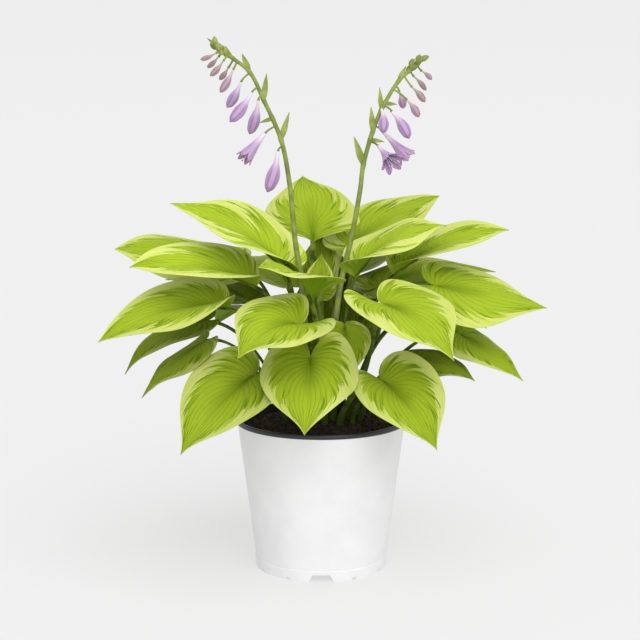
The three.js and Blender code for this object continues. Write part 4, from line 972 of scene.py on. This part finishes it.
def stem_finish(name, light, dark, roughness):
    """Smooth green with darker patches and a fine grain."""
    material, tree, shader = new_finish(name, Roughness=roughness)
    patches, cells = mottle(tree, 0.012, 0.0007)
    wire(tree, shader, Base_Color=blend(patches.step(0.35, 0.65), dark, light))
    raise_surface(tree, shader, cells, 0.0002, 0.4)
    return material


def plain_finish(name, light, dark, roughness):
    """A small part's colour with fine mottling, so that no face is one flat colour."""
    material, tree, shader = new_finish(name, Roughness=roughness)
    patches, _ = mottle(tree, 0.0015, 0.0004)
    wire(tree, shader, Base_Color=blend(patches, dark, light))
    return material


BLOOM_FINISHES = [
    petal_finish(),
    plain_finish("flower_filament", (0.85, 0.80, 0.90), (0.75, 0.66, 0.84), 0.5),
    plain_finish("flower_anther", (0.55, 0.40, 0.20), (0.22, 0.12, 0.26), 0.8),
]
SCAPE_FINISHES = [
    stem_finish("scape_stem", (0.270, 0.330, 0.062), (0.170, 0.215, 0.034), 0.55),
    stem_finish("scape_bract", (0.330, 0.390, 0.080), (0.200, 0.250, 0.040), 0.5),
    stem_finish("young_bud", (0.340, 0.390, 0.080), (0.170, 0.200, 0.035), 0.55),
]
print("scape finishes:", [finish.name for finish in BLOOM_FINISHES + SCAPE_FINISHES])


# %% Make the scapes
def top_bud_skins(end, heading):
    """The green buds that crowd the tip: each is a step further down the stem and turned further round."""
    skins = []
    for k in range(TOP_BUDS["count"]):
        turn = k * TOP_BUDS["turn"]
        base = end - heading * k * TOP_BUDS["climb"]
        out = unit(np.array((np.cos(turn), np.sin(turn), 0.2)) + heading * 1.5)
        tip = base + out * TOP_BUDS["length"]
        skins.append(bud_skin(base, tip, TOP_BUDS["radius"], TOP_BUD_PROFILE, 2, 14, 18))
    return skins


def add_scape(name, scape):
    """The scape's stem, bracts, flower stalks and top buds as one piece, and a piece for each bloom."""
    path = stem_path(scape["route"])
    skins = [stem_skin(path, scape["bracts"])]
    skins += [bract_skin(*bract) for bract in scape["bracts"]]
    skins += [pedicel_skin(base, tip, path) for base, tip, _, _ in scape["blooms"]]
    skins += top_bud_skins(path[-1], unit(path[-1] - path[-6]))
    pieces = [add_piece(name + "_fine", skins, SCAPE_FINISHES, node=name)]
    for i, (base, tip, radius, kind) in enumerate(scape["blooms"], 1):
        node = f"{name}_bloom_{i}"
        if kind == "bud":
            skins = [bud_skin(base, tip, radius, BUD_PROFILE)]
        else:
            skins = flower_skins(base, tip, radius, FLARE[kind])
        pieces.append(add_piece(node + "_fine", skins, BLOOM_FINISHES, node=node))
    return pieces


scape_pieces = [piece for name, scape in SCAPES.items() for piece in add_scape(name, scape)]
print("scapes and blooms:", len(scape_pieces))

# %% [markdown]
# ## The potting mix
# Potting mix is dark, moist and crumbly, heaped a little around the crown. Its surface is a round grid
# of rings, raised and lowered by noise in three sizes, and several hundred loose crumbs lie on it. Each
# crumb is a twenty-sided stone shape, stretched and turned at random from a seeded draw.

# %% The heap and its crumbs
CRUMBS, CRUMB_SIZES, CRUMB_SEED = 900, (0.6, 2.3), 11
SOIL_RINGS, SOIL_SPOKES = 110, 340
LUMPS = ((3, 9, 2.2), (4, 3.2, 1.4), (5, 1.3, 0.9))


def lumpy_height(x, y):
    """The smooth heap plus three sizes of noise (seed, size and height), weaker at the pot's wall."""
    lumps = sum(height * noise(seed, x / size, y / size) for seed, size, height in LUMPS)
    near_wall = smooth(0, 4, SOIL_RADIUS - np.hypot(x, y))
    return soil_height(x, y) + (lumps - LUMPS[0][2]) * mix(0.35, 1.0, near_wall)


def soil_skin():
    """The lumpy top, then straight down inside the wall and in over the raised floor to the axis."""
    radius = SOIL_RADIUS * np.linspace(0, 1, SOIL_RINGS)[None, :] ** 0.8
    angle = round_angles(SOIL_SPOKES)[:, None]
    x, y = radius * np.cos(angle), radius * np.sin(angle)
    top = np.stack([x, y, lumpy_height(x, y)], -1)
    floor_low = FLOOR_THICKNESS + FIT_GAP
    floor_high = FOOT_HEIGHT + floor_low
    low_radius = BASE_RADIUS - WALL - FIT_GAP
    lower = [(low_radius, BAND_HEIGHT), (low_radius, floor_high), (PAD_RADIUS - 1.4, floor_high),
             (PAD_RADIUS - 2.4, floor_low), (0, floor_low)]
    walls = [np.stack(np.broadcast_arrays(r * np.cos(angle), r * np.sin(angle), z), -1) for r, z in lower]
    return grid_skin(np.concatenate([top, *walls], axis=1), wrap_rows=True, wrap_columns=False, tone=0.5)


def icosahedron():
    """Twelve points at even permutations of (0, 1, golden ratio) and the twenty faces that join them."""
    golden = (1 + 5 ** 0.5) / 2
    base = [(0, a, b * golden) for a in (1, -1) for b in (1, -1)]
    points = unit(np.array([np.roll(p, k) for k in range(3) for p in base], float))
    near = np.linalg.norm(points[:, None] - points[None], axis=-1) < 1.1
    trios = np.array([(i, j, k) for i in range(12) for j in range(i) for k in range(j)])
    i, j, k = trios.T
    faces = trios[near[i, j] & near[j, k] & near[i, k]]
    a, b, c = (points[faces[:, k]] for k in range(3))
    inward = (np.cross(b - a, c - a) * a).sum(1) < 0
    faces[inward] = faces[inward][:, ::-1]
    return points, faces


def crumbs_skin():
    """All the crumbs at once: one shape, its points moved, stretched, turned and set on the heap."""
    draw = np.random.default_rng(CRUMB_SEED)
    shape, faces = icosahedron()
    size = CRUMB_SIZES[0] + (CRUMB_SIZES[1] - CRUMB_SIZES[0]) * draw.random(CRUMBS) ** 2.5
    radius = (SOIL_RADIUS - 2.5) * np.sqrt(draw.random(CRUMBS))
    angle = draw.random(CRUMBS) * 2 * np.pi
    x, y = radius * np.cos(angle), radius * np.sin(angle)
    centre = np.stack([x, y, lumpy_height(x, y) + 0.2 * size], -1)
    uneven = 1 + 0.35 * (draw.random((CRUMBS, 12, 1)) - 0.5)
    stretch = 0.55 + 0.7 * draw.random((CRUMBS, 1, 3))
    turns = np.linalg.qr(draw.normal(size=(CRUMBS, 3, 3)))[0]
    turns = turns * np.sign(np.linalg.det(turns))[:, None, None]
    points = shape * uneven * stretch * size[:, None, None]
    points = np.einsum("nvi,nij->nvj", points, turns) + centre[:, None]
    corners = faces[None] + 12 * np.arange(CRUMBS)[:, None, None]
    corners = np.concatenate([corners, corners[..., 2:]], -1).reshape(-1, 4)
    return Skin(points.reshape(-1, 3), corners, dict(tone=np.repeat(draw.random(CRUMBS), 12)), 0)


# %% Its finish
SOIL_DARK, SOIL_BROWN, SOIL_FIBRE = (0.016, 0.009, 0.005), (0.062, 0.034, 0.017), (0.140, 0.085, 0.045)


def soil_finish():
    """Near-black brown with lighter grains. The crumbs carry a tone that makes a few of them lighter."""
    material, tree, shader = new_finish("potting_mix", Roughness=0.95)
    at = object_coords(tree)
    tone, = attributes(tree, "tone")
    coarse = noise_in(tree, at, 260.0, 6.0)
    grit = node_in(tree, "ShaderNodeTexVoronoi", {"Vector": at, "Scale": 600.0})
    colour = blend(coarse.step(0.35, 0.75), SOIL_DARK, SOIL_BROWN)
    wire(tree, shader, Base_Color=blend(tone.step(0.82, 1.0), colour, SOIL_FIBRE))
    raise_surface(tree, shader, coarse + grit, 0.0012, 1.0)
    return material


soil_piece = add_piece("soil_fine", [soil_skin(), crumbs_skin()], [soil_finish()], node="soil")
print("potting mix faces:", len(soil_piece.data.polygons))

# %% [markdown]
# ## The nursery pot
# The pot is moulded in two colours, satin white outside and black inside and at its lip. A profile is
# turned round the axis with every corner slightly rounded, as moulded plastic is. The notches in its
# foot ring need no cutting: where a notch is, the ring's lower edge is simply lifted.

# %% The turned shell
NOTCH_LOW, NOTCH_HIGH, NOTCHES = 23.6, 17.0, 4
SLOT_WIDTH, SLOT_HEIGHT, SLOT_ANGLE = 4.0, 2.0, np.radians(29.0)
NOTCH_TURN = 2 * np.pi / NOTCHES
CORNER_STEPS, POT_SPOKES, STEP_WIDTH = 4, 360, 0.0003
WHITE, BLACK = 0, 1


def rounded(profile):
    """Each corner (r, z, rounding, finish) becomes a short Bezier arc as wide as its rounding."""
    points = np.array([p[:2] for p in profile], float)
    out, finishes = [], []
    for k, (_, _, bend, look) in enumerate(profile):
        here = points[k]
        if bend == 0:
            out.append(here[None])
        else:
            before, after = unit(points[k - 1] - here) * bend, unit(points[k + 1] - here) * bend
            out.append(bezier([here + before, here, here + after], np.linspace(0, 1, CORNER_STEPS))[0])
        finishes += [look] * len(out[-1])
    return np.concatenate(out), np.array(finishes)


def lift_at(angle):
    """How high the foot ring's lower edge stands: the notch's sloping sides, or a small slot beside it."""
    from_notch = (angle + np.pi / 2 + NOTCH_TURN / 2) % NOTCH_TURN - NOTCH_TURN / 2
    from_notch = np.abs(from_notch) * BASE_RADIUS
    slope = (NOTCH_LOW - NOTCH_HIGH) / 2 / FOOT_HEIGHT
    notch = np.clip((NOTCH_LOW / 2 - from_notch) / slope, 0, FOOT_HEIGHT - 0.02)
    beside = np.abs(from_notch - SLOT_ANGLE * BASE_RADIUS) < SLOT_WIDTH / 2
    return np.maximum(notch, np.where(beside, SLOT_HEIGHT, 0.0))


def pot_profile():
    """From the middle of the underside to the foot, up the outside, over the lip, down the inside."""
    lip_low, floor_high = POT_HEIGHT - LIP_HEIGHT, FOOT_HEIGHT + FLOOR_THICKNESS
    foot_in, inside = BASE_RADIUS - FOOT_WIDTH, BASE_RADIUS - WALL
    return [
        (0, 0, 0, WHITE), (PAD_RADIUS, 0, 0.6, WHITE), (PAD_RADIUS + 1, FOOT_HEIGHT, 0.6, WHITE),
        (foot_in, FOOT_HEIGHT, 0, WHITE), (foot_in, 0, 0, WHITE), (BASE_RADIUS, 0, 0, WHITE),
        (BASE_RADIUS + 0.7, BAND_HEIGHT - 0.6, 0.3, WHITE), (BASE_RADIUS, BAND_HEIGHT, 0.2, WHITE),
        (outer_radius(lip_low), lip_low, 0, BLACK), (RIM_RADIUS - 0.5, lip_low, 0.4, BLACK),
        (RIM_RADIUS, lip_low + 0.8, 0.4, BLACK), (RIM_RADIUS, POT_HEIGHT - 0.8, 0.7, BLACK),
        (RIM_RADIUS - 0.8, POT_HEIGHT, 0.4, BLACK), (RIM_RADIUS - LIP_WIDTH, POT_HEIGHT, 0.6, BLACK),
        (outer_radius(lip_low) - WALL, lip_low, 0.8, BLACK), (inside, BAND_HEIGHT, 0, BLACK),
        (inside, floor_high, 0.8, BLACK), (PAD_RADIUS - 1, floor_high, 0.5, BLACK),
        (PAD_RADIUS - 2, FLOOR_THICKNESS, 0.5, BLACK), (0, FLOOR_THICKNESS, 0, BLACK),
    ]


def pot_skin():
    """The profile at an even fan of angles, and at the edges of the notches and slots."""
    points, looks = rounded(pot_profile())
    half_slot = SLOT_WIDTH / 2 / BASE_RADIUS
    marks = [NOTCH_LOW / 2 / BASE_RADIUS, NOTCH_HIGH / 2 / BASE_RADIUS]
    slot_edges = (SLOT_ANGLE - half_slot, SLOT_ANGLE + half_slot)
    marks += [edge + step for edge in slot_edges for step in (-STEP_WIDTH, STEP_WIDTH)]
    middles = [k * NOTCH_TURN - np.pi / 2 for k in range(NOTCHES)]
    edges = [middle + side * mark for middle in middles for side in (-1, 1) for mark in marks]
    angle = np.unique(np.concatenate([round_angles(POT_SPOKES), np.mod(edges, 2 * np.pi)]))[:, None]
    z = np.broadcast_to(points[:, 1], (len(angle), len(points))).copy()
    ring = (points[:, 1] == 0) & (points[:, 0] >= BASE_RADIUS - FOOT_WIDTH - 0.01)
    z[:, ring] = np.maximum(z[:, ring], lift_at(angle))
    grid = np.stack([points[:, 0] * np.cos(angle), points[:, 0] * np.sin(angle), z], -1)
    return grid_skin(grid, wrap_rows=True, wrap_columns=False, finish=looks[:-1])


def plastic_finish(name, colour, shade, roughness):
    """Moulded plastic: nearly even in colour, with faint handling marks that change its gloss."""
    material, tree, shader = new_finish(name, IOR=1.5)
    at = object_coords(tree)
    marks = noise_in(tree, at, 35.0, 5.0)
    wire(tree, shader, Base_Color=blend(marks.step(0.3, 0.8), colour, shade),
         Roughness=marks * 0.12 + roughness)
    raise_surface(tree, shader, noise_in(tree, at, 1800.0, 1.0), 0.00006, 0.5)
    return material


POT_FINISHES = [
    plastic_finish("pot_white", (0.795, 0.795, 0.795), (0.745, 0.745, 0.75), 0.34),
    plastic_finish("pot_black", (0.016, 0.016, 0.017), (0.022, 0.022, 0.023), 0.38),
]
pot_piece = add_piece("pot_fine", [pot_skin()], POT_FINISHES, node="pot", sharp=32.0)
print("pot faces:", len(pot_piece.data.polygons))

# %% [markdown]
# ## The floor, the light and the camera
# A plain pale floor that curves up behind the plant leaves no horizon, and it glows a little, as paper
# lit from behind does. One sun with a very wide disc stands high, in front and a little to the left, so
# its shadows are soft. A weaker soft light in front brightens the pot, and the pale world fills the
# shadows. The camera looks slightly down at the pot from the front, through a long lens, as the
# photograph does.

# %% Stage
FLOOR_FRONT, FLOOR_BACK, FLOOR_SIDE, FLOOR_BEND, BACKDROP_TOP = -6.0, 2.2, 7.0, 1.5, 7.0
PAPER_GREY, PAPER_GLOW = 0.30, 0.512
SUN_WAY, SUN_STRENGTH, SUN_DISC = (-0.22, 0.5, -1.0), 1.18, 1.0
FILL_PLACE, FILL_AIM, FILL_WATTS, FILL_SIZE = (0.3, -1.7, 0.9), (0.0, 0.0, 0.28), 13.0, 1.6
WORLD_STRENGTH = 0.69


def add_backdrop():
    """A sheet that runs flat towards the back and then climbs along a quarter circle."""
    t = np.linspace(0, np.pi / 2, 24)
    back = FLOOR_BACK + FLOOR_BEND
    y = np.concatenate([[FLOOR_FRONT], FLOOR_BACK + FLOOR_BEND * np.sin(t), [back]])
    z = np.concatenate([[0.0], FLOOR_BEND * (1 - np.cos(t)), [BACKDROP_TOP]])
    x = np.array((-FLOOR_SIDE, FLOOR_SIDE))
    grid = np.stack(np.broadcast_arrays(x[None, :], y[:, None], z[:, None]), -1)
    mesh = bpy.data.meshes.new("backdrop")
    mesh.from_pydata(grid.reshape(-1, 3), [], grid_faces(len(y), 2, wrap_columns=False)[:, ::-1].tolist())
    mesh.polygons.foreach_set("use_smooth", np.ones(len(mesh.polygons), bool))
    material, _, shader = new_finish("backdrop_paper", Roughness=0.9, Emission_Strength=PAPER_GLOW)
    shader.inputs["Base Color"].default_value = (PAPER_GREY, PAPER_GREY, PAPER_GREY, 1)
    shader.inputs["Emission Color"].default_value = (1, 1, 1, 1)
    mesh.materials.append(material)
    backdrop = add_object("backdrop", mesh)


def add_light(name, kind, towards, energy, place=(0.0, 0.0, 0.0), **settings):
    """A light that shines along a direction. Its size, or the width of its disc, softens its shadows."""
    data = bpy.data.lights.new(name, kind)
    data.energy = energy
    for key, setting in settings.items():
        setattr(data, key, setting)
    light = add_object(name, data)
    light.location = place
    pitch = np.arctan2(np.hypot(*towards[:2]), -towards[2])
    light.rotation_euler = (pitch, 0, np.arctan2(-towards[0], towards[1]))


add_backdrop()
add_light("key", "SUN", SUN_WAY, SUN_STRENGTH, angle=SUN_DISC)
to_plant = np.array(FILL_AIM) - np.array(FILL_PLACE)
add_light("fill", "AREA", to_plant, FILL_WATTS, FILL_PLACE, size=FILL_SIZE)
world = bpy.data.worlds.new("pale_room")
world.use_nodes = True
sky = world.node_tree.nodes["Background"].inputs
sky["Color"].default_value, sky["Strength"].default_value = (1, 1, 1, 1), WORLD_STRENGTH
bpy.context.scene.world = world
bpy.context.scene.view_settings.view_transform = "Standard"
print("lights:", [light.name for light in bpy.data.lights])

# %% Camera
SENSOR_MM, IMAGE_PX, FOCAL_PX = 36.0, 640, 1489.0
CAMERA_PLACE, CAMERA_PITCH = (-0.0012, -1.430, 0.455), 8.44
camera_data = bpy.data.cameras.new("photo_view")
camera_data.sensor_width = SENSOR_MM
camera_data.lens = FOCAL_PX / IMAGE_PX * SENSOR_MM
camera = add_object("photo_view", camera_data)
camera.location = CAMERA_PLACE
camera.rotation_euler = (np.radians(90 - CAMERA_PITCH), 0, 0)
bpy.context.scene.camera = camera
print("lens in mm:", round(camera_data.lens, 1))
